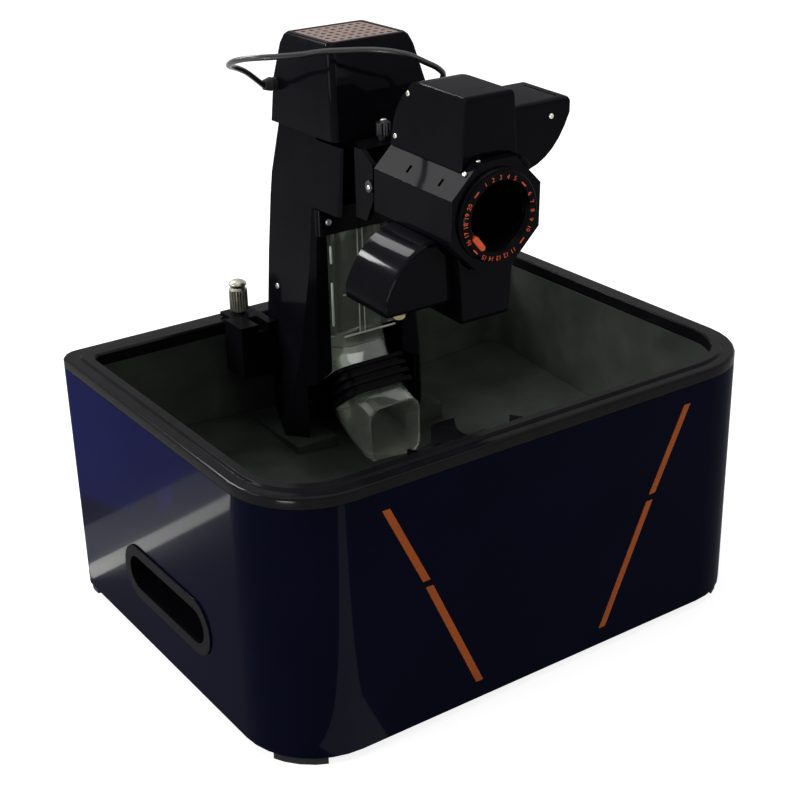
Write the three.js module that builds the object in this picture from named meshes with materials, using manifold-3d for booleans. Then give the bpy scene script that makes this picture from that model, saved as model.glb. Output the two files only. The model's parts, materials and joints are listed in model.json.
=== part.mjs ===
// A table tennis robot: an open ball hopper with a pick-up disc, a tower with a clear ball tube,
// and a head with two throwing wheels that swings, tilts and rolls.
// Millimetres. +Z is up, +X is to the right seen from the front, and balls leave towards -Y.
import * as THREE from "three";
import { mergeVertices } from "three/addons/utils/BufferGeometryUtils.js";
import Module from "manifold-3d";

const wasm = await Module();
wasm.setup();

// Sizes shared by many pieces
const gap = 0.3; // clearance between pieces that touch
const overrun = 12; // how far a cutting shape reaches past what it cuts
const weld = 0.0003; // corners nearer than this are one corner
const sides = { large: 48, round: 32, medium: 24, small: 20, tiny: 12, hole: 6 }; // facets of round shapes
// Straight steps in rounded corners, bends and curves
const arcSteps = {
  hopper: 8, corner: 6, medium: 4, small: 3, tiny: 2, bend: 8, elbow: 6, housing: 5, cover: 7,
};
const ball = { diameter: 40, clearance: 0.8 };
const quarter = Math.PI / 2;
const eighth = Math.PI / 4;
const degree = Math.PI / 180;

// The hopper: a lacquered wall on a base plate, with a wide rim round the top
const hopper = { width: 400, depth: 302, height: 192, wall: 3, frontRadius: 54, rearRadius: 13 };
const foot = { height: 6, width: 14, frontReach: 32, rearReach: 20, inset: 1.5 };
const plate = { thickness: 3 };
const rim = {
  height: 9.3, side: 16, front: 16, rear: 24, frontRadius: 40, rearRadius: 8,
  edge: 4, bevel: 2.4, step: 1.6, lipEdge: 1.2,
  bevelShare: 0.05, stepShare: 0.15, riseShare: 0.5, lipShares: [0.58, 0.94],
};
const handle = {
  length: 112, height: 30, centreZ: 60, centreY: 4, bezel: 6, proud: 1.2, depth: 26, wall: 2.4,
};
const stripe = {
  width: 6.5, depth: 1, outerX: 124, topDrop: 22, middleX: 95, middleDrop: 82, innerX: 53.5, innerZ: 18.5,
  split: 4,
};
const tub = {
  wall: 2.6, flange: 3, sideTaper: 14, frontTaper: 14, rearTaper: 3.4, cornerGrowth: 6,
  slope: 0.12, wellPlay: 2, panFlange: 5, panThickness: 2,
};

// The way of the balls: pick-up disc, pipe with a bend, upright tube, elbow and throat
const tube = {
  wall: 1.6, cornerRadius: 9, axisY: 82, bendRadius: 70, bendTop: 190, mouthY: 20, jointZ: 178, flange: 2.4,
};
const clamp = { bottom: 271, height: 19, halfWidth: 42, front: 46, noseRadius: 3, grip: 22 };
const collar = { wall: 4.4, rib: 3.2, ribLength: 3, ribs: 4, length: 22, lead: 4, angle: 36.5 * degree };
const elbow = { bendRadius: 28, straight: 2 };
const disc = {
  radius: 62, thickness: 14, pocketCircle: 44, pockets: 6, pocketPlay: 1.5, lift: 2, centreX: 44, centreY: -40,
  capRadius: 20, capHeight: 13, fingers: 3, fingerHeight: 7, finger: 4, shaftRadius: 6,
};
const capShares = [[0.94, 0.4], [0.7, 0.8], [0.3, 1]]; // radius and height of the cap's shoulders

// The gears below the hopper's floor
const gearing = {
  module: 2.2, discTeeth: 36, pinionTeeth: 12, width: 8, addendumShare: 0.7, dedendumShare: 1.05,
  backlash: 0.35, pressureAngle: 20 * degree, drop: 9, pinionBore: 3,
  holes: 6, holeShare: 0.2, holeCircleShare: 0.58,
};
const gearmotor = { radius: 18.5, boxRadius: 22, boxHeight: 18, footWidth: 60, footThickness: 3 };
const board = {
  width: 96, depth: 64, thickness: 1.6, standoff: 8, standoffRadius: 3, fromSide: 56, fromRear: 57, inset: 6,
};
// Parts on the board: near and far corner as shares of its width and depth, and height in board thicknesses
const boardPartShares = [
  [[0.2, 0.25], [0.42, 0.5], 1.5], [[0.52, 0.6], [0.72, 0.84], 1.125],
  [[0.78, 0.2], [0.9, 0.48], 4.5], [[0.2, 0.68], [0.36, 0.84], 3.5],
];
const socket = {
  width: 28, height: 20, depth: 20, flange: 2, lip: 3, fromSide: 90, z: 40, recess: 12, pin: 1.6,
};

// The tower: a shell with an open front that widens towards its foot
const tower = {
  wall: 3, rearEdge: 4, front: 53, opening: 31.5, cheekFront: 21, cheekBottom: 291,
  doorHalf: 50, doorSide: 156, doorTop: 165, doorDepth: 9,
};
const towerFoot = { z: 115, front: 46, shoulder: 62, chamfer: 20, rear: 45, rearY: 118 };
const towerDoor = { z: 150, front: 45, shoulder: 57, chamfer: 14, rear: 45.5, rearY: 118 };
const towerWaist = { z: 185, front: 43.5, shoulder: 51, chamfer: 9, rear: 49, rearY: 117 };
const towerChest = { z: 245, front: 41, shoulder: 44.5, chamfer: 4, rear: 46.5, rearY: 113.5 };
const towerShoulder = { z: 288, front: 38.5, shoulder: 41, chamfer: 3, rear: 43.8, rearY: 111 };
const towerNeck = { z: 305, front: 37.5, shoulder: 39.5, chamfer: 2.6, rear: 42.5, rearY: 109.5 };
const towerTop = { z: 341, front: 35, shoulder: 36, chamfer: 2, rear: 36.5, rearY: 106 };
const towerSections = [towerFoot, towerDoor, towerWaist, towerChest, towerShoulder, towerNeck, towerTop];

// The housing on the tower: each section rises from the one below it
const housing = { wall: 2.6, ventBorder: 3, ledge: 2.5, ventDepth: 2.4, edge: 5, rearCorner: 2.5 };
const housingFloor = { rise: 0.3, half: 40, front: 24.5, rear: 108 };
const housingBelt = { rise: 30.7, half: 39, front: 27, rear: 104 };
const housingBrow = { rise: 24, half: 35, front: 34.5, rear: 99.5 };
const housingEdge = { rise: 6, half: 33, front: 37.5, rear: 97 };
const housingTop = { rise: 2, half: 31, front: 39.5, rear: 95 };
const vent = { columns: 8, rows: 6, hole: 2, margin: 3.6 };
const swing = { axisY: 40, shaftRadius: 4, shaftTop: 353, bushWall: 2.7 };
const swingMotor = {
  boxHalf: 14, boxFront: 30, boxRear: 70, boxHeight: 13, radius: 12, motorY: 58, height: 28,
};

// The yoke that hangs from the tower housing, and the tilt axis of the head
const yoke = {
  half: 33, ear: 3.5, plate: 2.6, plateFront: 2.8, earRear: 11.5, narrow: 24, tailRear: 47,
  tipY: -9.8, earTop: 333, earLow: 309, earBottom: 293, earFootFront: -1,
};
const tilt = {
  y: -7, z: 318.2, restAngle: 1.9 * degree, pinRadius: 3, pinHead: 4.2, headHeight: 1.8, fit: 0.08,
};
const throat = { rear: 45.5, front: 9 };
const tiltScrew = { x: -7, y: 15, radius: 5, grip: 9, neck: 3, rise: 3, flutes: 16, flute: 0.5 };

// The head, measured from the tilt axis: y runs back along the barrel and z away from its axis
const barrel = {
  inradius: 35, wall: 3.2, rear: -7, front: -91, endWall: 4,
  slotLength: 5.5, slotWidth: 2.2, slotLow: 32, rearSlot: -37.5, frontSlot: -71.5,
};
const roll = { bearingRadius: 26, spigot: 17, flangeRear: 4.4, lugHalf: 9, lugFit: 0.3, flange: 3.4 };
const liner = { outer: 24.2, wall: 2.4, rear: -26 };
const nozzle = {
  outer: 30.4, faceOuter: 29, length: 4.6, lip: 2.2, edge: 0.8, faceInner: 23.4, inner: 21.8, cone: 3,
};
const pointer = { length: 13, width: 4.6, proud: 1.6, depth: 2, circle: 22.6, angle: -141 * degree };
const wheel = {
  radius: 26, width: 16, offset: 44.5, y: -45, tyre: 6, crown: 1.4, hubWidth: 12, web: 4, spokes: 5,
  spokeHole: 3.6, bore: 1.9,
};
const wheelHousing = {
  front: -83, rear: -7, base: 26, baseHalf: 22.5, top: 74, topHalf: 17.8, wall: 2.5, edge: 4,
  rearFlat: 36, rearRise: 40, crestShare: 0.76923, slotMargin: 2.2,
};
const motorCover = {
  front: -75, rear: -29, top: 60.2, outer: 72.5, cornerRadius: 4, frontEdge: 3.5, sideDrop: 50,
  bellyX: 60, bellyZ: 17, footX: 31.6, footZ: 15, wall: 2.4, inner: 16,
  slotDepth: 0.8, slotWidth: 2, slotInset: 7,
};
const motor = { radius: 11.3, length: 33, shaft: 1.6, capRadius: 6, capLength: 1.5, shaftReach: 6 };
const stop = { radius: 4, height: 4.4, x: -58, y: -68 };
const stopShares = [[1, 0.5], [0.7, 0.85]]; // radius and height of the stop's rounded end

// The slotted block on the rear rim, its thumb screw, and the lead to the head
const block = {
  left: -79.5, right: -50.2, fromRear: 53, drop: 37, arm: 3.2, armFromRear: 11, armLeft: -74, armRight: -51,
  slot: 8, slotDepth: 6, slotX: -61,
};
const thumb = {
  x: -62.5, fromRear: 20, radius: 7, height: 20, dome: 4, flutes: 20, flute: 0.7,
  neck: 4, neckHeight: 1.6, stud: 2.4,
};
const domeShares = [[0.85, 0.45], [0.5, 0.85]]; // radius and height of the thumb screw's domed top
const lead = { diameter: 4, sides: 8, steps: 44 };
const gland = {
  radius: 5, length: 8, bore: 2.3, neckShare: 0.8, tipShare: 0.7, wallTip: -48.6, wallY: 100, wallZ: 368.5,
  footRadius: 6.5, foot: 2.5, x: 14, y: 10, top: 349.9,
};
const leadRoute = [
  [gland.wallTip, gland.wallY, gland.wallZ], [-58.9, 95, 376.4], [-66.6, 91, 381.7], [-75, 86, 386],
  [-83, 80, 389.2], [-89.2, 72, 392.5], [-91.4, 62, 396.7], [-89.9, 50, 400.1], [-84.9, 38, 402.2],
  [-74.7, 30, 402.8], [-62, 24, 403.2], [-47, 22, 403.4], [-32.8, 16, 403.2], [-19.1, 10, 402.6],
  [-9, 2, 401.6], [2.4, -4, 398.4], [13.1, -6, 393], [23.4, -6, 387.4],
  [29, -4, 382], [27, 1, 372], [20, 6, 361], [14.6, 9.5, 354.5], [gland.x, gland.y, gland.top],
];

// Values that follow from the sizes above
const halfWidth = hopper.width / 2;
const halfDepth = hopper.depth / 2;
const skinTop = hopper.height - rim.height - gap;
const bore = ball.diameter + 2 * ball.clearance;
const tubeHalf = bore / 2 + tube.wall;
const mouthZ = tube.bendTop - tube.bendRadius;
const wellZ = mouthZ - bore / 2;
const plateTop = foot.height + plate.thickness;
const elbowZ = clamp.bottom + clamp.height + gap;
const housingSections = [];
[housingFloor, housingBelt, housingBrow, housingEdge, housingTop].forEach((section, i) => {
  const below = i ? housingSections[i - 1].z : towerTop.z;
  housingSections.push({ ...section, z: below + section.rise });
});
const housingFloorZ = housingSections[0].z;
const housingTopZ = housingSections[housingSections.length - 1].z;
const gearTop = wellZ - tub.wall - gearing.drop;
const gearBottom = gearTop - gearing.width;
const yokePlateTop = housingFloorZ - 2 * gap;
const yokePlateBottom = yokePlateTop - yoke.plate;
const thumbY = halfDepth - thumb.fromRear;
const rimInner = {
  left: -halfWidth + rim.side,
  right: halfWidth - rim.side,
  front: -halfDepth + rim.front,
  rear: halfDepth - rim.rear,
};

const colours = {
  lacquer: [0x0b0c26, 0.12], gloss: [0x0c0d12, 0.16], satin: [0x121316, 0.42], matt: [0x17191a, 0.62],
  orange: [0xd8572a, 0.4], clear: [0xcfd6c8, 0.08], rubber: [0x1b1b1c, 0.85], tyre: [0x3a3d42, 0.8],
  board: [0x1d5a34, 0.5], cream: [0xe6e0b4, 0.5], nylon: [0xdedad0, 0.45], cable: [0x0d0d0e, 0.5],
};
const metals = { nickel: [0xb9bcc0, 0.26], steel: [0x9fa3a8, 0.3], aluminium: [0xc2c5c9, 0.35] };

const robot = new THREE.Group();
const head = new THREE.Group();
head.position.set(0, tilt.y, tilt.z);
head.rotation.x = tilt.restAngle;
robot.add(head);

// Geometry helpers: a closed geometry becomes a solid, and a solid becomes a named mesh
function solid(geometry) {
  const bare = geometry.index ? geometry.toNonIndexed() : geometry.clone();
  bare.deleteAttribute("normal");
  bare.deleteAttribute("uv");
  const merged = mergeVertices(bare, weld);
  const kept = [];
  const index = merged.index.array;
  for (let i = 0; i < index.length; i += 3) {
    const [a, b, c] = [index[i], index[i + 1], index[i + 2]];
    if (a !== b && b !== c && c !== a) kept.push(a, b, c);
  }
  const points = merged.attributes.position.array;
  const build = (triangles) => new wasm.Manifold(
    new wasm.Mesh({ numProp: 3, vertProperties: points, triVerts: new Uint32Array(triangles) }));
  const made = build(kept);
  if (made.volume() > 0) return made;
  for (let i = 0; i < kept.length; i += 3) [kept[i + 1], kept[i + 2]] = [kept[i + 2], kept[i + 1]];
  return build(kept);
}

function piece(name, body, colour, parent = robot) {
  const data = body.getMesh();
  const geometry = new THREE.BufferGeometry()
    .setAttribute("position", new THREE.BufferAttribute(data.vertProperties, data.numProp))
    .setIndex(new THREE.BufferAttribute(data.triVerts, 1))
    .toNonIndexed();
  geometry.computeVertexNormals();
  const metal = metals[colour];
  const [value, roughness] = metal ?? colours[colour];
  const material = new THREE.MeshStandardMaterial({ color: value, roughness, metalness: metal ? 1 : 0 });
  if (colour === "clear") {
    material.transparent = true;
    material.opacity = 0.4;
  }
  const mesh = new THREE.Mesh(geometry, material);
  mesh.name = name;
  parent.add(mesh);
}

// Points of a rounded rectangle, anticlockwise from the front right corner
function roundedBox(left, right, front, rear, frontRadius, rearRadius, steps = arcSteps.corner) {
  const centres = [
    [right - frontRadius, front + frontRadius, frontRadius],
    [right - rearRadius, rear - rearRadius, rearRadius],
    [left + rearRadius, rear - rearRadius, rearRadius],
    [left + frontRadius, front + frontRadius, frontRadius],
  ];
  const points = [];
  centres.forEach(([x, y, radius], corner) => {
    for (let i = 0; i <= steps; i++) {
      const angle = quarter * (corner - 1 + i / steps);
      points.push(new THREE.Vector2(x + radius * Math.cos(angle), y + radius * Math.sin(angle)));
    }
  });
  return points;
}

function circle(radius, x, y, facets) {
  return new THREE.Shape().absarc(x, y, radius, 0, 2 * Math.PI).getPoints(facets / 2).slice(0, -1);
}

const corners = (pairs) => pairs.map(([x, y]) => new THREE.Vector2(x, y));

function extruded(outline, length) {
  return new THREE.ExtrudeGeometry(new THREE.Shape(outline), { depth: length, bevelEnabled: false, steps: 1 });
}

// Prisms whose outline is drawn in X-Y, X-Z or Y-Z
const upright = (outline, bottom, top) => solid(extruded(outline, top - bottom).translate(0, 0, bottom));
const alongY = (outline, front, rear) =>
  solid(extruded(outline, rear - front).rotateX(quarter).translate(0, rear, 0));
const toX = new THREE.Matrix4().makeBasis(
  new THREE.Vector3(0, 1, 0), new THREE.Vector3(0, 0, 1), new THREE.Vector3(1, 0, 0));
const alongX = (outline, left, right) =>
  solid(extruded(outline, right - left).applyMatrix4(toX).translate(left, 0, 0));

const box = (left, right, front, rear, bottom, top) =>
  upright(corners([[left, front], [right, front], [right, rear], [left, rear]]), bottom, top);

// A turned piece about Z, X or Y from a profile of [radius, place along the axis]
const lathe = (profile, facets) => new THREE.LatheGeometry(corners([...profile, profile[0]]), facets);
const turned = (profile, x, y, facets) => solid(lathe(profile, facets).rotateX(quarter).translate(x, y, 0));
const turnedX = (profile, y, z, facets) => solid(lathe(profile, facets).rotateZ(-quarter).translate(0, y, z));
const turnedY = (profile, x, z, facets) => solid(lathe(profile, facets).translate(x, 0, z));
const rod = (radius, bottom, top) => [[0, bottom], [radius, bottom], [radius, top], [0, top]];
const ring = (inner, outer, bottom, top) => [[inner, bottom], [outer, bottom], [outer, top], [inner, top]];

// A skin through rings of points, with a cap on the first and last ring unless the rings close on themselves
function skinned(rings, capOutline) {
  const count = rings[0].length;
  const points = rings.flat().flatMap((p) => [p.x, p.y, p.z]);
  const faces = [];
  const last = capOutline ? rings.length - 1 : rings.length;
  for (let r = 0; r < last; r++) {
    const below = r * count;
    const above = ((r + 1) % rings.length) * count;
    for (let i = 0; i < count; i++) {
      const j = (i + 1) % count;
      faces.push(below + i, below + j, above + j, below + i, above + j, above + i);
    }
  }
  if (capOutline) {
    const end = (rings.length - 1) * count;
    THREE.ShapeUtils.triangulateShape(capOutline, []).forEach(([a, b, c]) => {
      faces.push(c, b, a, end + a, end + b, end + c);
    });
  }
  const geometry = new THREE.BufferGeometry();
  geometry.setAttribute("position", new THREE.Float32BufferAttribute(points, 3));
  geometry.setIndex(faces);
  return solid(geometry);
}

const level = (outline, z) => outline.map((p) => new THREE.Vector3(p.x, p.y, z));
const loft = (sections) => skinned(sections.map(([outline, z]) => level(outline, z)), sections[0][0]);
const atDepth = (outline, y) => outline.map((p) => new THREE.Vector3(p.x, y, p.y));
const loftY = (sections) => skinned(sections.map(([outline, y]) => atDepth(outline, y)), sections[0][0]);

// A square tube section with round corners, and its sweep along a path in the Y-Z plane
function tubeSection(half) {
  const radius = Math.min(tube.cornerRadius, half / 2);
  return roundedBox(-half, half, -half, half, radius, radius, arcSteps.small);
}
function pipe(half, stations) {
  const section = tubeSection(half);
  const rings = stations.map(({ y, z, angle }) =>
    section.map((p) => new THREE.Vector3(p.x, y - p.y * Math.cos(angle), z - p.y * Math.sin(angle))));
  return skinned(rings, section);
}

// Stations of the lower pipe: angle 0 heads up the tube, a quarter turn heads back along the floor
function bendStation(turn, radius = tube.bendRadius) {
  const y = tube.axisY - tube.bendRadius + radius * Math.cos(turn);
  return { y, z: tube.bendTop - radius * Math.sin(turn), angle: -turn };
}

function lowerPipe(half, topZ) {
  const bends = Array.from({ length: arcSteps.bend + 1 }, (_, i) => bendStation((quarter * i) / arcSteps.bend));
  const mouth = { ...bends[bends.length - 1], y: tube.mouthY - overrun };
  return pipe(half, [{ y: tube.axisY, z: topZ, angle: 0 }, ...bends, mouth]);
}

const aheadOf = (y) => box(-halfWidth, halfWidth, -halfWidth, y, 0, hopper.height);

// The hopper's outline, drawn in by an inset
function hopperOutline(inset) {
  return roundedBox(-halfWidth + inset, halfWidth - inset, -halfDepth + inset, halfDepth - inset,
    hopper.frontRadius - inset, Math.max(hopper.rearRadius - inset, hopper.wall), arcSteps.hopper);
}

function rimInnerOutline(outset = 0) {
  return roundedBox(
    rimInner.left - outset, rimInner.right + outset, rimInner.front - outset, rimInner.rear + outset,
    rim.frontRadius + outset, rim.rearRadius + outset, arcSteps.hopper);
}

function obround(length, height, centreY, centreZ) {
  const half = height / 2;
  return roundedBox(centreY - length / 2, centreY + length / 2, centreZ - half, centreZ + half, half, half);
}

// The four stripes lean from the front face's upper corners towards the middle of its lower edge
function stripeOutlines(shrink) {
  const outerZ = hopper.height - stripe.topDrop;
  const middleZ = hopper.height - stripe.middleDrop;
  const lean = (stripe.outerX - stripe.middleX) / (outerZ - middleZ);
  const half = stripe.width / 2 - shrink;
  const bar = (topX, topZ, lowX, lowZ) => [
    [topX - half, topZ - shrink], [topX + half, topZ - shrink],
    [lowX + half, lowZ + shrink], [lowX - half, lowZ + shrink],
  ];
  const upper = bar(stripe.outerX, outerZ, stripe.middleX, middleZ);
  const splitX = stripe.middleX - lean * stripe.split;
  const lower = bar(splitX, middleZ - stripe.split, stripe.innerX, stripe.innerZ);
  const outlines = {};
  [["upper", upper], ["lower", lower]].forEach(([place, points]) => {
    [["left", -1], ["right", 1]].forEach(([side, sign]) => {
      const turnedPoints = points.map(([x, z]) => [sign * x, z]);
      outlines[`${place}_stripe_${side}`] = corners(turnedPoints);
    });
  });
  return outlines;
}

function makeHopper() {
  let skin = upright(hopperOutline(0), foot.height, skinTop)
    .subtract(upright(hopperOutline(hopper.wall), foot.height - overrun, skinTop + overrun));
  const opening = obround(handle.length, handle.height, handle.centreY, handle.centreZ);
  skin = skin.subtract(alongX(opening, -halfWidth - overrun, halfWidth + overrun));
  Object.values(stripeOutlines(0)).forEach((outline) => {
    skin = skin.subtract(alongY(outline, -halfDepth - overrun, -halfDepth + stripe.depth));
  });
  const socketX = halfWidth - socket.fromSide;
  skin = skin.subtract(box(
    socketX - socket.width / 2 - gap, socketX + socket.width / 2 + gap,
    halfDepth - hopper.wall - overrun, halfDepth + overrun,
    socket.z - socket.height / 2 - gap, socket.z + socket.height / 2 + gap));
  piece("outer_skin", skin, "lacquer");
  Object.entries(stripeOutlines(gap)).forEach(([name, outline]) => {
    piece(name, alongY(outline, -halfDepth, -halfDepth + stripe.depth - gap), "orange");
  });
  piece("base_plate", upright(hopperOutline(hopper.wall + gap), foot.height, plateTop), "matt");
  makeFeet();
  makeRim();
  makeHandles();
  makeSocket();
}

function makeFeet() {
  const band = upright(hopperOutline(foot.inset), 0, foot.height - gap)
    .subtract(upright(hopperOutline(foot.inset + foot.width), -overrun, foot.height + overrun));
  [["front", -1], ["rear", 1]].forEach(([end, y]) => {
    [["left", -1], ["right", 1]].forEach(([side, x]) => {
      const reach = end === "front" ? foot.frontReach : foot.rearReach;
      const inner = [x * (halfWidth - reach), y * (halfDepth - reach)];
      const outer = [x * (halfWidth + overrun), y * (halfDepth + overrun)];
      const xs = [inner[0], outer[0]].sort((a, b) => a - b);
      const ys = [inner[1], outer[1]].sort((a, b) => a - b);
      piece(`foot_${end}_${side}`, band.intersect(box(...xs, ...ys, -overrun, hopper.height)), "rubber");
    });
  });
}

// The rim is a profile carried round between the outer and the inner outline
function makeRim() {
  const outer = hopperOutline(0);
  const inner = rimInnerOutline();
  const top = hopper.height;
  const bottom = skinTop + gap;
  const [lipOuter, lipInner] = rim.lipShares;
  const profile = [
    [0, bottom], [0, top - rim.edge], [rim.bevelShare, top - rim.bevel], [rim.stepShare, top - rim.step],
    [rim.riseShare, top - rim.step], [lipOuter, top], [lipInner, top], [1, top - rim.lipEdge], [1, bottom],
  ];
  const rings = profile.map(([share, z]) =>
    outer.map((p, i) => new THREE.Vector3(
      p.x + share * (inner[i].x - p.x), p.y + share * (inner[i].y - p.y), z)));
  const studHole = turned(rod(thumb.stud + gap, bottom - overrun, top + overrun), thumb.x, thumbY, sides.tiny);
  piece("rim_frame", skinned(rings).subtract(studHole), "gloss");
}

// Each handle is a closed cup behind the opening, with a rounded bezel round its mouth
function makeHandles() {
  [["left", -1], ["right", 1]].forEach(([side, sign]) => {
    const outside = halfWidth + handle.proud;
    const inside = halfWidth - handle.depth;
    const grown = (by) =>
      obround(handle.length + 2 * by, handle.height + 2 * by, handle.centreY, handle.centreZ);
    const cupOuter = grown(-gap);
    const rimOuter = grown(handle.bezel);
    const cupInner = grown(-handle.wall);
    const span = (near, far) => [sign * near, sign * far].sort((a, b) => a - b);
    const cup = alongX(cupOuter, ...span(inside, outside))
      .add(alongX(rimOuter, ...span(halfWidth + gap, outside)))
      .subtract(alongX(cupInner, ...span(inside + handle.wall, outside + overrun)));
    piece(`handle_cup_${side}`, cup, "gloss");
  });
}

function makeSocket() {
  const x = halfWidth - socket.fromSide;
  const z = socket.z;
  const halfW = socket.width / 2;
  const halfH = socket.height / 2;
  const rear = halfDepth;
  const inside = rear - hopper.wall - gap;
  const block = (grown, near, far) =>
    box(x - halfW - grown, x + halfW + grown, near, far, z - halfH - grown, z + halfH + grown);
  const body = block(0, rear - socket.depth, rear).add(block(socket.lip, inside - socket.flange, inside));
  const cavity = roundedBox(
    x - halfW + socket.lip, x + halfW - socket.lip, z - halfH + socket.lip, z + halfH - socket.lip,
    socket.lip / 2, socket.lip / 2, arcSteps.tiny);
  let made = body.subtract(alongY(cavity, rear - socket.recess, rear + overrun));
  [-1, 1].forEach((side) => {
    made = made.add(turnedY(rod(socket.pin, rear - socket.recess - socket.flange, rear - socket.lip),
      x + (side * halfW) / 3, z, sides.tiny));
  });
  piece("power_socket", made, "matt");
}

// The hopper's tub: drawn in towards the floor, which falls to the pick-up disc's well
function tubCavity(outset, topZ) {
  const lowZ = wellZ - overrun;
  const tapered = roundedBox(
    rimInner.left + tub.sideTaper - outset, rimInner.right - tub.sideTaper + outset,
    rimInner.front + tub.frontTaper - outset, rimInner.rear - tub.rearTaper + outset,
    rim.frontRadius + tub.cornerGrowth + outset, rim.rearRadius + tub.cornerGrowth + outset, arcSteps.hopper);
  return loft([[tapered, lowZ], [rimInnerOutline(outset), skinTop], [rimInnerOutline(outset), topZ]]);
}

function groundBelow(drop) {
  const far = hopper.width;
  const low = wellZ - 3 * overrun;
  const well = disc.radius + tub.wellPlay;
  const floor = wellZ - drop;
  const profile = [[0, low], [far, low], [far, floor + tub.slope * (far - well)], [well, floor], [0, floor]];
  return turned(profile, disc.centreX, disc.centreY, sides.round);
}

// The tub's walls, with a flange round the top, stand on the edge of its floor
function makeTub() {
  const flange = upright(hopperOutline(hopper.wall + gap), skinTop - tub.flange, skinTop);
  const walls = tubCavity(tub.wall, skinTop).add(flange)
    .subtract(tubCavity(0, skinTop + overrun))
    .subtract(groundBelow(-gap));
  piece("hopper_tub", walls, "matt");
}

// The floor has a hole for the pan under the disc, a notch for the pipe, and two plinths for the tower
function makeFloor() {
  const inside = tubCavity(tub.wall, skinTop);
  let body = inside.intersect(groundBelow(0)).subtract(groundBelow(tub.wall));
  [-1, 1].forEach((side) => {
    const xs = [side * tower.opening, side * (towerFoot.shoulder + tower.wall)].sort((a, b) => a - b);
    const rear = towerFoot.rearY + gap;
    const plinth = box(...xs, tower.front - tower.wall, rear, wellZ - tub.wall, towerFoot.z - gap);
    body = body.add(plinth.intersect(inside));
  });
  body = body.subtract(lowerPipe(tubeHalf + gap, tube.bendTop).subtract(aheadOf(tube.mouthY - gap)));
  const well = disc.radius + tub.wellPlay;
  const wellRod = rod(well, wellZ - 3 * overrun, wellZ + gap);
  const wellHole = turned(wellRod, disc.centreX, disc.centreY, sides.round);
  piece("hopper_floor", body.subtract(wellHole), "matt");
}

// The pan under the disc fills the hole in the tub's floor and is fastened under its edge
function makeWellPan() {
  const well = disc.radius + tub.wellPlay;
  const top = wellZ - tub.wall - gap;
  const low = top - tub.panThickness;
  const flange = well + tub.panFlange;
  const boss = well - gap;
  const profile = [[0, low], [flange, low], [flange, top], [boss, top], [boss, wellZ], [0, wellZ]];
  const shaftHole = turned(rod(disc.shaftRadius + gap, low - overrun, wellZ + overrun),
    disc.centreX, disc.centreY, sides.medium);
  piece("well_pan", turned(profile, disc.centreX, disc.centreY, sides.round).subtract(shaftHole), "matt");
}

// The pick-up disc carries balls round in its pockets and pushes them into the pipe's mouth
function makePickup() {
  const x = disc.centreX;
  const y = disc.centreY;
  const bottom = wellZ + disc.lift;
  const top = bottom + disc.thickness;
  const pocket = ball.diameter / 2 + disc.pocketPlay;
  let body = turned(rod(disc.radius, bottom, top), x, y, sides.large);
  for (let i = 0; i < disc.pockets; i++) {
    const angle = Math.PI + (2 * Math.PI * i) / disc.pockets;
    const corner = pocket - gap;
    const outline = roundedBox(
      disc.pocketCircle - pocket, disc.radius + overrun, -pocket, pocket, corner, corner);
    const slot = extruded(outline, disc.thickness + 2 * overrun).translate(0, 0, bottom - overrun);
    body = body.subtract(solid(slot.rotateZ(angle).translate(x, y, 0)));
  }
  const shaftFit = turned(rod(disc.shaftRadius + gap, bottom - overrun, top + overrun), x, y, sides.medium);
  piece("pickup_disc", body.subtract(shaftFit), "satin");

  const capBottom = top + gap;
  const shoulders = capShares.map(([wide, high]) => [wide * disc.capRadius, capBottom + high * disc.capHeight]);
  let cap = turned([
    [0, capBottom], [disc.capRadius, capBottom], ...shoulders, [0, capBottom + disc.capHeight],
  ], x, y, sides.round);
  for (let i = 0; i < disc.fingers; i++) {
    const angle = (2 * Math.PI * i) / disc.fingers + Math.PI / disc.pockets;
    const half = disc.finger / 2;
    const end = half - gap;
    const outline = roundedBox(0, disc.capRadius + disc.finger, -half, half, end, end, arcSteps.small);
    const finger = extruded(outline, disc.fingerHeight).translate(0, 0, capBottom);
    cap = cap.add(solid(finger.rotateZ(angle).translate(x, y, 0)));
  }
  piece("disc_cap", cap, "satin");
  piece("disc_shaft", turned(rod(disc.shaftRadius, gearBottom - gap * 2, top), x, y, sides.medium), "steel");
}

function makeDiscGear() {
  const x = disc.centreX;
  const y = disc.centreY;
  const phase = Math.PI / gearing.discTeeth;
  const outline = gearOutline(gearing.discTeeth, phase).map((p) => p.add(new THREE.Vector2(x, y)));
  const hole = (radius, cx, cy, facets) =>
    turned(rod(radius, gearBottom - overrun, gearTop + overrun), cx, cy, facets);
  const shaftHole = hole(disc.shaftRadius + gap, x, y, sides.medium);
  let wheelBody = upright(outline, gearBottom, gearTop).subtract(shaftHole);
  const pitch = (gearing.module * gearing.discTeeth) / 2;
  for (let i = 0; i < gearing.holes; i++) {
    const angle = (2 * Math.PI * i) / gearing.holes;
    const place = pitch * gearing.holeCircleShare;
    wheelBody = wheelBody.subtract(hole(
      pitch * gearing.holeShare, x + place * Math.cos(angle), y + place * Math.sin(angle), sides.tiny));
  }
  piece("disc_gear", wheelBody, "nylon");
}

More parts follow.
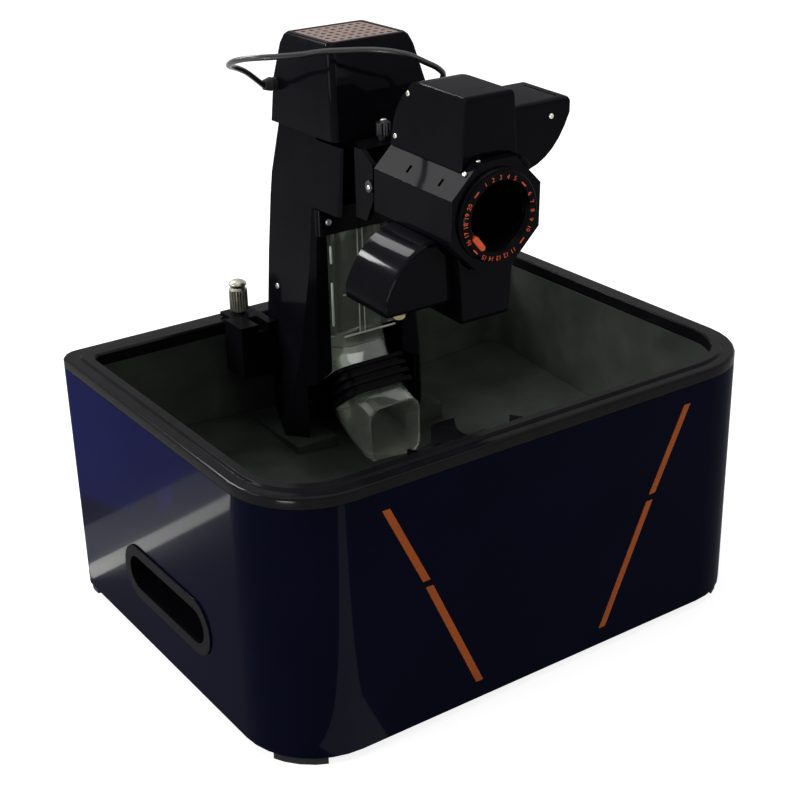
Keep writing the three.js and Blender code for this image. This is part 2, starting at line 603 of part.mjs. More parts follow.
// A gear's outline about its own centre, with a tooth at the phase angle; the flanks are chords of involutes
function gearOutline(teeth, phase) {
  const pitch = (gearing.module * teeth) / 2;
  const base = pitch * Math.cos(gearing.pressureAngle);
  const tip = pitch + gearing.module * gearing.addendumShare;
  const root = pitch - gearing.module * gearing.dedendumShare;
  const involute = (radius) => {
    const t = Math.sqrt(Math.max((radius / base) ** 2 - 1, 0));
    return t - Math.atan(t);
  };
  const halfAtPitch = Math.PI / (2 * teeth) - gearing.backlash / (2 * pitch);
  const halfAt = (radius) => halfAtPitch + involute(pitch) - involute(Math.max(radius, base));
  const radii = [root, tip];
  const points = [];
  for (let i = 0; i < teeth; i++) {
    const centre = phase + (2 * Math.PI * i) / teeth;
    const flank = (radius, side) => {
      const angle = centre + side * halfAt(radius);
      points.push(new THREE.Vector2(radius * Math.cos(angle), radius * Math.sin(angle)));
    };
    radii.forEach((radius) => flank(radius, -1));
    [...radii].reverse().forEach((radius) => flank(radius, 1));
  }
  return points;
}

function makeDrive() {
  const centres = (gearing.module * (gearing.discTeeth + gearing.pinionTeeth)) / 2;
  const x = disc.centreX - centres;
  const y = disc.centreY;
  const outline = gearOutline(gearing.pinionTeeth, 0).map((p) => p.add(new THREE.Vector2(x, y)));
  const boreCut = rod(gearing.pinionBore + gap, gearBottom - overrun, gearTop + overrun);
  const pinion = upright(outline, gearBottom, gearTop).subtract(turned(boreCut, x, y, sides.tiny));
  piece("drive_pinion", pinion, "nylon");

  const boxTop = gearBottom - 2 * gap;
  const boxBottom = boxTop - gearmotor.boxHeight;
  const bottom = plateTop + gap;
  const motorBody = turned([
    [0, boxBottom], [gearmotor.boxRadius, boxBottom], [gearmotor.boxRadius, boxTop],
    [gearing.pinionBore, boxTop], [gearing.pinionBore, gearTop], [0, gearTop],
  ], x, y, sides.medium);
  const can = rod(gearmotor.radius, bottom + gearmotor.footThickness / 2, boxBottom + gap);
  const foundation = box(
    x - gearmotor.footWidth / 2, x + gearmotor.footWidth / 2, y - gearmotor.boxRadius, y + gearmotor.boxRadius,
    bottom, bottom + gearmotor.footThickness);
  piece("drive_gearmotor", motorBody.add(turned(can, x, y, sides.medium)).add(foundation), "steel");
}

function makeBoard() {
  const bottom = plateTop + gap;
  const left = -halfWidth + board.fromSide;
  const front = halfDepth - board.fromRear - board.depth;
  const low = bottom + board.standoff;
  let card = box(left, left + board.width, front, front + board.depth, low, low + board.thickness);
  [[0, 0], [1, 0], [0, 1], [1, 1]].forEach(([i, j]) => {
    const px = left + board.inset + i * (board.width - 2 * board.inset);
    const py = front + board.inset + j * (board.depth - 2 * board.inset);
    card = card.add(turned(rod(board.standoffRadius, bottom, low + board.thickness / 2), px, py, sides.tiny));
  });
  boardPartShares.forEach(([near, far, height]) => {
    card = card.add(box(
      left + near[0] * board.width, left + far[0] * board.width,
      front + near[1] * board.depth, front + far[1] * board.depth,
      low, low + board.thickness * (1 + height)));
  });
  piece("control_board", card, "board");
}

// The clear pipe: a bend on the floor, and an upright tube with flanges that fasten it in the tower's front
function makeTube() {
  const topZ = clamp.bottom + clamp.height;
  const outer = lowerPipe(tubeHalf, topZ).subtract(aheadOf(tube.mouthY));
  const inner = lowerPipe(bore / 2, topZ + overrun);
  const between = (bottom, top) => box(-halfWidth, halfWidth, -halfDepth, halfDepth, bottom, top);
  piece("tube_bend", outer.intersect(between(0, tube.jointZ - gap)).subtract(inner), "clear");

  const flangeFront = tower.front + tower.wall + gap;
  const flanges = box(
    -tower.opening - tube.flange, tower.opening + tube.flange, flangeFront, flangeFront + tube.flange,
    tube.bendTop, clamp.bottom - gap);
  const link = box(-tubeHalf, tubeHalf, flangeFront, tube.axisY, tube.bendTop, clamp.bottom - gap);
  const upper = outer.intersect(between(tube.jointZ, topZ));
  piece("ball_tube", upper.add(flanges).add(link).subtract(inner), "clear");
}

// The ribbed collar clasps the pipe on its bend; it runs straight along the bend's tangent
function makeCollar() {
  const turn = collar.angle;
  const centre = bendStation(turn);
  const station = (along) => ({
    y: centre.y - along * Math.sin(turn), z: centre.z - along * Math.cos(turn), angle: -turn,
  });
  const sleeve = (half, from, to) => pipe(half, [station(from), station(to)]);
  const base = tubeHalf + collar.wall;
  let body = sleeve(base, -collar.lead, collar.length - collar.lead);
  const pitch = (collar.length - collar.ribLength) / (collar.ribs - 1);
  for (let i = 0; i < collar.ribs; i++) {
    const from = -collar.lead + i * pitch;
    body = body.add(sleeve(base + collar.rib, from, from + collar.ribLength));
  }
  piece("tube_collar", body.subtract(lowerPipe(tubeHalf + gap, tube.bendTop)), "satin");
}

// The clamp bar lies on the tower's front and holds the tube's top
function makeClamp() {
  const bottom = clamp.bottom;
  const top = bottom + clamp.height;
  const rear = tower.front - gap;
  const end = (rear - clamp.front) / 2 - gap;
  const outline = roundedBox(-clamp.halfWidth, clamp.halfWidth, clamp.front, rear, end, end);
  const bar = upright(outline, bottom, top);
  const nose = roundedBox(
    -tower.opening + gap, tower.opening - gap, clamp.front + gap, tube.axisY + clamp.grip,
    clamp.noseRadius, clamp.noseRadius, arcSteps.small);
  const hole = roundedBox(
    -tubeHalf - gap, tubeHalf + gap, tube.axisY - tubeHalf - gap, tube.axisY + tubeHalf + gap,
    tube.cornerRadius, tube.cornerRadius, arcSteps.small);
  const body = bar.add(upright(nose, bottom, top)).subtract(upright(hole, bottom - overrun, top + overrun));
  piece("tube_clamp", body, "satin");
}

function towerOutline(section, inset, frontY) {
  const { front, shoulder, chamfer, rear, rearY } = section;
  const f = front - inset;
  const s = shoulder - inset;
  const r = rear - inset;
  const y0 = frontY + inset;
  const y1 = rearY - inset;
  const e = tower.rearEdge;
  const right = [[f, y0], [s, y0 + chamfer], [r, y1 - e], [r - e, y1]];
  const left = right.map(([x, y]) => [-x, y]).reverse();
  return corners([left[3], ...right, ...left.slice(0, 3)]);
}

// A tower section between the listed ones, by straight interpolation
function sectionAt(z) {
  const above = towerSections.findIndex((s) => s.z >= z);
  const a = towerSections[Math.max(above - 1, 0)];
  const b = towerSections[above];
  const share = a === b ? 0 : (z - a.z) / (b.z - a.z);
  const mixed = {};
  Object.keys(a).forEach((key) => {
    mixed[key] = a[key] + share * (b[key] - a[key]);
  });
  return mixed;
}

function makeTower() {
  const lower = loft(towerSections.map((s) => [towerOutline(s, 0, tower.front), s.z]));
  const cheekSections = [sectionAt(tower.cheekBottom), towerTop];
  const cheeks = loft(cheekSections.map((s) => [towerOutline(s, 0, tower.cheekFront), s.z]));
  const past = (s) => s.z + (s === towerFoot ? -overrun : 0) + (s === towerTop ? overrun : 0);
  const room = loft(towerSections.map((s) => [towerOutline(s, tower.wall, tower.front), past(s)]));
  const below = towerFoot.z - overrun;
  const above = towerTop.z + overrun;
  const doorRear = tower.front + tower.wall + gap;
  const openFront = box(-tower.opening, tower.opening, -overrun, doorRear, below, above);
  const cheekRoom = loft(cheekSections.map((s) =>
    [towerOutline(s, tower.wall, tower.cheekFront - tower.wall - overrun), past(s)]));
  const tailRoom = yoke.tailRear + overrun / 2;
  const yokeRoom = box(-halfWidth, halfWidth, -overrun, tailRoom, yokePlateBottom - gap, above);
  const doorway = alongY(corners([
    [-tower.doorHalf, below], [tower.doorHalf, below], [tower.doorHalf, tower.doorSide],
    [tower.opening, tower.doorTop], [-tower.opening, tower.doorTop], [-tower.doorHalf, tower.doorSide],
  ]), -overrun, tower.front + tower.doorDepth);
  const cuts = [room, openFront, cheekRoom, yokeRoom, doorway];
  piece("tower_shell", cuts.reduce((body, cut) => body.subtract(cut), lower.add(cheeks)), "gloss");
}

function housingOutline({ half, front, rear }, inset) {
  const frontCorner = housing.edge - inset / 2;
  const rearCorner = housing.rearCorner - inset / 2;
  return roundedBox(
    -half + inset, half - inset, front + inset, rear - inset, frontCorner, rearCorner, arcSteps.medium);
}

function ventOutline(inset) {
  const { half, front, rear } = housingTop;
  return roundedBox(
    -half + inset, half - inset, front + inset, rear - inset, housing.wall, housing.wall, arcSteps.tiny);
}

function makeHousing() {
  const floorTop = housingFloorZ + housing.wall;
  const ceiling = housingTopZ - housing.ventDepth - housing.wall;
  const outer = loft(housingSections.map((s) => [housingOutline(s, 0), s.z]));
  const inner = loft(housingSections.map((s) =>
    [housingOutline(s, housing.wall), Math.min(Math.max(s.z, floorTop), ceiling)]));
  const above = housingTopZ + overrun;
  const rebate = upright(ventOutline(housing.ventBorder), housingTopZ - housing.ventDepth, above);
  const through = upright(ventOutline(housing.ventBorder + housing.ledge), housingTopZ - overrun, above);
  const bushSize = swing.shaftRadius + swing.bushWall + gap;
  const bushHole = turned(rod(bushSize, housingFloorZ - overrun, housingFloorZ + overrun / 2),
    0, swing.axisY, sides.medium);
  const leadHole = turnedX(rod(gland.radius - gap, -halfWidth, -housingFloor.half + overrun),
    gland.wallY, gland.wallZ, sides.small);
  const body = outer.subtract(inner).subtract(rebate).subtract(through).subtract(bushHole).subtract(leadHole);
  piece("top_housing", body, "gloss");
}

function makeGrille() {
  const { half, front: edgeFront, rear } = housingTop;
  const grilleLow = housingTopZ - housing.ventDepth + gap;
  let grille = upright(ventOutline(housing.ventBorder + gap), grilleLow, housingTopZ - gap);
  const inset = housing.ventBorder + vent.margin + vent.hole;
  const stepX = (2 * (half - inset)) / (vent.columns - 1);
  const stepY = (rear - edgeFront - 2 * inset) / (vent.rows - 1);
  for (let i = 0; i < vent.columns; i++) {
    for (let j = 0; j < vent.rows; j++) {
      const hole = circle(vent.hole, inset - half + i * stepX, edgeFront + inset + j * stepY, sides.hole);
      grille = grille.subtract(upright(hole, grilleLow - overrun, housingTopZ + overrun));
    }
  }
  piece("vent_grille", grille, "satin");
}

// Stations of the fixed elbow at the tube's top, which turns the balls forwards
function makeElbow() {
  const centreY = tube.axisY - elbow.bendRadius;
  const path = (extra) => {
    const stations = [{ y: tube.axisY, z: elbowZ - extra, angle: 0 }];
    for (let i = 0; i <= arcSteps.elbow; i++) {
      const turn = (quarter * i) / arcSteps.elbow;
      const y = centreY + elbow.bendRadius * Math.cos(turn);
      stations.push({ y, z: elbowZ + elbow.bendRadius * Math.sin(turn), angle: turn });
    }
    stations.push({ ...stations[stations.length - 1], y: centreY - elbow.straight - extra });
    return stations;
  };
  piece("feed_elbow", pipe(tubeHalf, path(0)).subtract(pipe(bore / 2, path(overrun))), "satin");
}

function makeSwingDrive() {
  const floorTop = housingFloorZ + housing.wall;
  const shaftHole = swing.shaftRadius + gap;
  const bush = ring(shaftHole, swing.shaftRadius + swing.bushWall, housingFloorZ, floorTop);
  piece("swing_bush", turned(bush, 0, swing.axisY, sides.medium), "nylon");
  const bottom = floorTop + gap;
  const boxTop = bottom + swingMotor.boxHeight;
  const { boxHalf, boxFront, boxRear, radius, motorY, height } = swingMotor;
  const body = box(-boxHalf, boxHalf, boxFront, boxRear, bottom, boxTop)
    .add(turned(rod(radius, boxTop - gap, boxTop + height), 0, motorY, sides.medium))
    .subtract(turned(rod(shaftHole, bottom - overrun, swing.shaftTop + gap), 0, swing.axisY, sides.medium));
  piece("swing_gearmotor", body, "steel");
}

// The yoke: a flat plate under the tower housing with an ear on each side
function makeYoke() {
  const top = yokePlateTop;
  const bottom = yokePlateBottom;
  const flat = corners([
    [-yoke.half, yoke.plateFront], [yoke.half, yoke.plateFront],
    [yoke.half, yoke.earRear], [yoke.narrow, yoke.earRear], [yoke.narrow, yoke.tailRear],
    [-yoke.narrow, yoke.tailRear], [-yoke.narrow, yoke.earRear], [-yoke.half, yoke.earRear],
  ]);
  const earOutline = corners([
    [yoke.earRear, yoke.earBottom], [yoke.earRear, top], [yoke.plateFront, top], [yoke.tipY, yoke.earTop],
    [yoke.tipY, yoke.earLow], [yoke.earFootFront, yoke.earBottom],
  ]);
  let body = upright(flat, bottom, top);
  [-1, 1].forEach((side) => {
    const xs = [side * (yoke.half - yoke.ear), side * yoke.half].sort((a, b) => a - b);
    body = body.add(alongX(earOutline, ...xs));
  });
  body = body.add(turned(rod(swing.shaftRadius, bottom, swing.shaftTop), 0, swing.axisY, sides.medium));
  const pinHole = rod(tilt.pinRadius + gap, -halfWidth, halfWidth);
  body = body.subtract(turnedX(pinHole, tilt.y, tilt.z, sides.small));
  const drilled = (radius, x, y) => turned(rod(radius, bottom - overrun, top + overrun), x, y, sides.small);
  body = body.subtract(drilled(tiltScrew.neck + gap, tiltScrew.x, tiltScrew.y));
  body = body.subtract(drilled(lead.diameter, gland.x, gland.y));
  piece("swing_yoke", body, "satin");
}

// The throat is a square trough open at the top, cut off below the yoke's plate
function makeThroat() {
  const station = (y) => ({ y, z: tilt.z, angle: quarter });
  const run = (half, extra) => pipe(half, [station(throat.rear + extra), station(throat.front - extra)]);
  const lidTop = yokePlateTop + overrun;
  const lid = box(-halfWidth, halfWidth, -halfWidth, halfWidth, yokePlateBottom - gap, lidTop);
  piece("feed_throat", run(tubeHalf, 0).subtract(run(bore / 2, overrun)).subtract(lid), "satin");
}

function makeTiltPins() {
  [["left", -1], ["right", 1]].forEach(([name, side]) => {
    const inside = side * (roll.bearingRadius + gap);
    const face = side * (yoke.half + gap);
    const tip = face + side * tilt.headHeight;
    const pin = turnedX([
      [0, inside], [tilt.pinRadius, inside], [tilt.pinRadius, face], [tilt.pinHead, face],
      [tilt.pinHead, tip - side * gap], [tilt.pinHead - gap * 2, tip], [0, tip],
    ], tilt.y, tilt.z, sides.small);
    piece(`tilt_pin_${name}`, pin, "nickel");
  });
}

function makeTiltScrew() {
  const { x, y, radius, neck, rise, flute, flutes } = tiltScrew;
  const low = yokePlateBottom + gap;
  const knobLow = yokePlateTop + rise;
  const knobTop = knobLow + tiltScrew.grip;
  const crown = knobTop + rise / 2;
  const stem = [[0, low], [neck, low], [neck, knobTop], [radius - flute, knobTop], [neck, crown], [0, crown]];
  const collar = rod(radius - flute, yokePlateTop + gap, knobLow + gap);
  const knob = upright(fluted(radius, flute, flutes, x, y), knobLow, knobTop)
    .add(turned(stem, x, y, sides.small))
    .add(turned(collar, x, y, sides.small));
  piece("tilt_screw", knob, "nickel");
}

// A knurled outline: a circle with small flutes cut between its teeth
function fluted(radius, depth, count, x, y) {
  const points = [];
  for (let i = 0; i < 2 * count; i++) {
    const r = i % 2 ? radius - depth : radius;
    const angle = (Math.PI * i) / count;
    points.push(new THREE.Vector2(x + r * Math.cos(angle), y + r * Math.sin(angle)));
  }
  return points;
}

// The socket tilts between the yoke's ears and carries the barrel on a round spigot
function makeSocketOfHead() {
  const flangeFront = barrel.rear + gap;
  const flangeRear = roll.flangeRear;
  const boreRadius = bore / 2;
  const spigotFront = flangeFront - roll.spigot;
  const spigot = ring(boreRadius, roll.bearingRadius - gap, spigotFront, flangeFront + gap);
  let body = turnedY(ring(boreRadius, roll.bearingRadius, flangeFront, flangeRear), 0, 0, sides.medium)
    .add(turnedY(spigot, 0, 0, sides.medium));
  const lugOutline = roundedBox(
    flangeFront, flangeRear, -roll.lugHalf, roll.lugHalf, flangeRear / 2, flangeRear / 2, arcSteps.medium);
  [-1, 1].forEach((side) => {
    const reach = side * (yoke.half - yoke.ear - roll.lugFit);
    const xs = [side * (roll.bearingRadius - roll.flange), reach].sort((a, b) => a - b);
    body = body.add(alongX(lugOutline, ...xs));
  });
  const clear = turnedY(rod(boreRadius, spigotFront - overrun, flangeRear + overrun), 0, 0, sides.medium);
  const pins = turnedX(rod(tilt.pinRadius + tilt.fit, -halfWidth, halfWidth), 0, 0, sides.small);
  piece("tilt_socket", body.subtract(clear).subtract(pins), "satin", head);
}

const octagon = (inradius) =>
  Array.from({ length: 8 }, (_, i) => {
    const angle = (Math.PI * (2 * i + 1)) / 8;
    const radius = inradius / Math.cos(Math.PI / 8);
    return new THREE.Vector2(radius * Math.cos(angle), radius * Math.sin(angle));
  });

// Slots above and below the barrel's axis through which the wheels reach the ball
function wheelSlots(margin) {
  const halfX = wheel.width / 2 + margin;
  const halfY = wheel.radius - margin / 2;
  return box(-halfX, halfX, wheel.y - halfY, wheel.y + halfY, -wheelHousing.top, wheelHousing.top);
}

function makeBarrel() {
  const shell = alongY(octagon(barrel.inradius), barrel.front, barrel.rear);
  const insideFront = barrel.front + barrel.endWall;
  const insideRear = barrel.rear - barrel.endWall;
  const hollow = alongY(octagon(barrel.inradius - barrel.wall), insideFront, insideRear);
  const rearHole = rod(roll.bearingRadius + gap, insideRear - overrun, barrel.rear + overrun);
  const frontHole = rod(liner.outer + gap, barrel.front - overrun, insideFront + overrun);
  let body = shell.subtract(hollow)
    .subtract(turnedY(rearHole, 0, 0, sides.medium))
    .subtract(turnedY(frontHole, 0, 0, sides.round))
    .subtract(wheelSlots(wheelHousing.slotMargin));
  const facet = barrel.inradius;
  const slotEnd = barrel.slotLow - facet;
  const halfSlot = barrel.slotWidth / 2;
  [barrel.rearSlot, barrel.frontSlot].forEach((y) => {
    const slot = box(slotEnd - barrel.slotLength, slotEnd, y - halfSlot, y + halfSlot,
      facet - barrel.wall * 2, facet + overrun);
    body = body.subtract(slot.rotate([0, -eighth / degree, 0]));
  });
  piece("barrel", body, "gloss", head);

  const tubeFront = barrel.front + gap;
  const wallRing = ring(liner.outer - liner.wall, liner.outer, tubeFront, liner.rear);
  const pipeBody = turnedY(wallRing, 0, 0, sides.round);
  piece("barrel_liner", pipeBody.subtract(wheelSlots(wheelHousing.slotMargin)), "satin", head);
}

// The ring on the barrel's mouth, with a recess for the pointer
function makeNozzle() {
  const back = barrel.front - gap;
  const face = back - nozzle.length;
  const ringProfile = [
    [nozzle.inner, back], [nozzle.outer, back], [nozzle.outer, back - nozzle.lip + nozzle.edge],
    [nozzle.faceOuter, back - nozzle.lip], [nozzle.faceOuter, face + nozzle.edge],
    [nozzle.faceOuter - nozzle.edge, face], [nozzle.faceInner, face], [nozzle.inner, face + nozzle.cone],
  ];
  const recess = alongY(pillOutline(0), face - overrun, face + pointer.depth);
  piece("nozzle_ring", turnedY(ringProfile, 0, 0, sides.large).subtract(recess), "satin", head);
  const pill = alongY(pillOutline(gap), face - pointer.proud, face + pointer.depth - gap);
  piece("ring_pointer", pill, "orange", head);
}

// The pointer: a short bar with round ends, set in the ring's face
function pillOutline(shrink) {
  const half = pointer.width / 2 - shrink;
  const reach = pointer.length / 2 - shrink;
  const bar = roundedBox(-reach, reach, -half, half, half - gap / 3, half - gap / 3, arcSteps.small);
  const along = pointer.angle + quarter;
  const towards = new THREE.Vector2(Math.cos(pointer.angle), Math.sin(pointer.angle));
  const centre = towards.multiplyScalar(pointer.circle);
  return bar.map((p) => p.rotateAround(new THREE.Vector2(0, 0), along).add(centre));
}

// One wheel unit, drawn above the barrel; the lower one is the same unit turned half round the barrel's axis
function wheelHousingSide(inset) {
  const { front, rear, base, top, edge, rearFlat, rearRise, crestShare } = wheelHousing;
  const low = base - overrun / 2 + inset * 2;
  const brow = (rear - rearRise) / 2;
  const shape = new THREE.Shape();
  shape.moveTo(rear - inset, low);
  shape.lineTo(rear - inset, rearFlat);
  shape.quadraticCurveTo(rear - inset, (rearFlat + top) / 2 + inset, brow + inset / 2, top - edge - inset);
  shape.quadraticCurveTo(brow - edge, top - inset, rear - rearRise * crestShare, top - inset);
  shape.lineTo(front + edge, top - inset);
  shape.quadraticCurveTo(front + inset, top - inset, front + inset, top - edge);
  shape.lineTo(front + inset, low);
  return shape.getPoints(arcSteps.housing).reverse();
}

function wheelHousingWidth(inset) {
  const { base, baseHalf, top, topHalf } = wheelHousing;
  const low = inset ? base - overrun : base;
  const high = inset ? top - inset : top + overrun;
  return corners([
    [-baseHalf + inset, low], [baseHalf - inset, low], [topHalf - inset, high], [-topHalf + inset, high],
  ]);
}

function wheelHousingBody(inset) {
  const side = alongX(wheelHousingSide(inset), -halfWidth, halfWidth);
  return side.intersect(alongY(wheelHousingWidth(inset), -halfWidth, halfWidth));
}

function motorCoverOutline(inset, innerX) {
  const c = motorCover;
  const shape = new THREE.Shape();
  shape.moveTo(innerX, c.footZ + inset);
  shape.lineTo(c.footX, c.footZ + inset);
  shape.quadraticCurveTo(c.bellyX - inset / 2, c.bellyZ + inset, c.outer - inset, c.sideDrop);
  shape.lineTo(c.outer - inset, c.top - c.cornerRadius);
  shape.quadraticCurveTo(c.outer - inset, c.top - inset, c.outer - c.cornerRadius, c.top - inset);
  shape.lineTo(innerX, c.top - inset);
  return shape.getPoints(arcSteps.cover);
}

// Room for the barrel, cut from what sits against it
const barrelRoom = () => alongY(octagon(barrel.inradius + gap), barrel.front - overrun, barrel.rear + overrun);

function makeWheelHousing(name, place) {
  const shaftHole = rod(motor.capRadius + gap, 0, wheelHousing.baseHalf + overrun);
  const body = wheelHousingBody(0)
    .subtract(barrelRoom())
    .subtract(wheelHousingBody(wheelHousing.wall))
    .subtract(turnedX(shaftHole, wheel.y, wheel.offset, sides.small));
  piece(`${name}_wheel_housing`, place(body), "gloss", head);
}

function makeMotorCover(name, place) {
  const { front, rear, top, outer, inner, frontEdge, wall, slotDepth, slotWidth, slotInset } = motorCover;
  const half = frontEdge * (1 - Math.SQRT1_2);
  const stations = [[frontEdge, front], [half, front + half], [0, front + frontEdge], [0, rear]];
  const coverOuter = loftY(stations.map(([inset, y]) => [motorCoverOutline(inset, inner), y]));
  const coverInner = alongY(motorCoverOutline(wall, inner - overrun), front + wall, rear - wall);
  const seatOutline = wheelHousingWidth(0).map((p) => new THREE.Vector2(p.x + Math.sign(p.x) * gap, p.y));
  const slotX = outer - slotInset;
  const slotEnds = [front + slotInset, rear - slotInset];
  const slot = box(slotX - slotWidth, slotX, ...slotEnds, top - slotDepth, top + overrun);
  const cuts = [coverInner, alongY(seatOutline, -halfWidth, halfWidth), barrelRoom(), slot];
  const cover = cuts.reduce((body, cut) => body.subtract(cut), coverOuter);
  piece(`${name}_motor_cover`, place(cover), "gloss", head);
}

function makeWheelMotor(name, place) {
  const { shaft, shaftReach, radius, length, capRadius, capLength } = motor;
  const near = wheelHousing.baseHalf + gap;
  const far = near + length;
  const body = turnedX([
    [0, -shaftReach], [shaft, -shaftReach], [shaft, motorFaceX()], [capRadius, motorFaceX()], [capRadius, near],
    [radius, near], [radius, far], [capRadius, far], [capRadius, far + capLength], [0, far + capLength],
  ], wheel.y, wheel.offset, sides.small);
  piece(`${name}_motor`, place(body), "steel", head);
}

function makeWheel(name, place) {
  const axisZ = wheel.offset;
  const hubOuter = wheel.radius - wheel.tyre;
  const halfHub = wheel.hubWidth / 2;
  let hub = turnedX([
    [wheel.bore, -halfHub], [hubOuter, -halfHub], [hubOuter, halfHub], [hubOuter - wheel.web, halfHub],
    [hubOuter - wheel.web, -halfHub + wheel.web], [wheel.bore + wheel.web, -halfHub + wheel.web],
    [wheel.bore + wheel.web, halfHub], [wheel.bore, halfHub],
  ], wheel.y, axisZ, sides.medium);
  const holeCircle = (wheel.bore + hubOuter) / 2;
  for (let i = 0; i < wheel.spokes; i++) {
    const angle = (2 * Math.PI * i) / wheel.spokes;
    hub = hub.subtract(turnedX(rod(wheel.spokeHole, -halfHub - overrun, halfHub + overrun),
      wheel.y + holeCircle * Math.cos(angle), axisZ + holeCircle * Math.sin(angle), sides.tiny));
  }
  piece(`${name}_wheel_hub`, place(hub), "aluminium", head);
  const halfTyre = wheel.width / 2;
  const tyreInner = hubOuter + gap / 2;
  const tyre = turnedX([
    [tyreInner, -halfTyre], [wheel.radius - wheel.crown, -halfTyre], [wheel.radius, -halfTyre + wheel.crown],
    [wheel.radius, halfTyre - wheel.crown], [wheel.radius - wheel.crown, halfTyre], [tyreInner, halfTyre],
  ], wheel.y, axisZ, sides.round);
  piece(`${name}_wheel_tyre`, place(tyre), "tyre", head);
}

function makeWheelUnit(name, turn) {
  const place = (body) => {
    const data = body.getMesh();
    const geometry = new THREE.BufferGeometry()
      .setAttribute("position", new THREE.BufferAttribute(data.vertProperties, data.numProp))
      .setIndex(new THREE.BufferAttribute(data.triVerts, 1));
    return solid(geometry.rotateY(turn));
  };
  [makeWheelHousing, makeMotorCover, makeWheelMotor, makeWheel].forEach((make) => make(name, place));
}

// The motor's nose sits in the wheel housing's side wall at the height of the wheel's axle
function motorFaceX() {
  const { base, baseHalf, top, topHalf, wall } = wheelHousing;
  const share = (wheel.offset - base) / (top - base);
  return baseHalf + share * (topHalf - baseHalf) - wall;
}

function makeHead() {
  makeSocketOfHead();
  makeBarrel();
  makeNozzle();
  makeWheelUnit("upper", 0);
  makeWheelUnit("lower", Math.PI);
  const under = -motorCover.top - gap;
  const rounded = stopShares.map(([wide, high]) => [stop.radius * wide, under - stop.height * high]);
  const profile = [[0, under], [stop.radius, under], ...rounded, [0, under - stop.height]];
  piece("rubber_stop", turned(profile, stop.x, stop.y, sides.small), "cream", head);
}

// The slotted block hooks over the rear rim and is held by the thumb screw
function makeBlock() {
  const top = hopper.height + gap;
  const armTop = top + block.arm;
  const front = halfDepth - block.fromRear;
  const rear = rimInner.rear - gap - tub.rearTaper;
  const body = box(block.left, block.right, front, rear, top - block.drop, armTop)
    .add(box(block.armLeft, block.armRight, rear - overrun, halfDepth - block.armFromRear, top, armTop));
  const halfSlot = block.slot / 2;
  const slot = box(block.slotX - halfSlot, block.slotX + halfSlot, front - overrun, rear - block.slot,
    armTop - block.slotDepth, armTop + overrun);
  const hole = turned(rod(thumb.stud + gap, top - overrun, armTop + overrun), thumb.x, thumbY, sides.tiny);
  piece("accessory_block", body.subtract(slot).subtract(hole), "satin");
  makeThumbScrew(armTop + gap);
}

function makeThumbScrew(seat) {
  const { x, radius, dome, flute, neck, stud } = thumb;
  const neckTop = seat + thumb.neckHeight;
  const gripTop = neckTop + thumb.height - dome;
  const rounded = domeShares.map(([wide, high]) => [radius * wide, gripTop + dome * high]);
  const core = turned([
    [0, skinTop + gap], [stud, skinTop + gap], [stud, seat], [neck, seat], [neck, gripTop],
    [radius - flute, gripTop], ...rounded, [0, gripTop + dome],
  ], x, thumbY, sides.small);
  const grip = upright(fluted(radius, flute, thumb.flutes, x, thumbY), neckTop, gripTop);
  piece("thumb_screw", grip.add(core), "nickel");
}

// The lead runs from the tower housing's side over the front to the yoke
function makeLead() {
  const points = leadRoute.map((p) => new THREE.Vector3(...p));
  const path = new THREE.CatmullRomCurve3(points);
  const section = new THREE.Shape(circle(lead.diameter / 2, 0, 0, lead.sides));
  const options = { steps: lead.steps, extrudePath: path, curveSegments: 1 };
  const swept = new THREE.ExtrudeGeometry(section, options);
  piece("head_lead", solid(swept), "cable");

  const { radius, bore: hole, foot: thick, footRadius, neckShare, tipShare } = gland;
  const tip = gland.wallTip + gap;
  const shoulder = tip + gland.length - thick;
  const inner = tip + gland.length + housing.wall;
  const neck = radius - 2 * gap;
  const wallGland = turnedX([
    [hole, tip], [radius * tipShare, tip], [radius, shoulder], [neck, shoulder], [neck, inner], [hole, inner],
  ], gland.wallY, gland.wallZ, sides.small);
  piece("tower_gland", wallGland, "rubber");
  const low = yokePlateTop + gap;
  const high = gland.top - gap;
  const yokeGland = turned([
    [hole, low], [footRadius, low], [footRadius, low + thick],
    [radius * neckShare, low + thick], [radius * tipShare, high], [hole, high],
  ], gland.x, gland.y, sides.small);
  piece("yoke_gland", yokeGland, "rubber");
}

makeHopper();
makeTub();
makeFloor();
makeWellPan();
makePickup();
makeDiscGear();
makeDrive();
makeBoard();
makeTube();
makeCollar();
makeClamp();
makeTower();
makeHousing();
makeGrille();
makeElbow();
makeSwingDrive();
makeYoke();
makeThroat();
makeTiltPins();
makeTiltScrew();
makeHead();
makeBlock();
makeLead();

export default robot;
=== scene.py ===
"""The looks of a table tennis robot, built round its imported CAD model.

Metres, with +Z up; the balls leave towards -Y. Every CAD node gets rounded edges and a procedural
material, and small parts that the CAD leaves out are seated on the nodes that carry them.
"""

import json
import math

import bmesh
import bpy
from mathutils import Matrix, Vector
from mathutils.bvhtree import BVHTree
from mathutils.geometry import tessellate_polygon


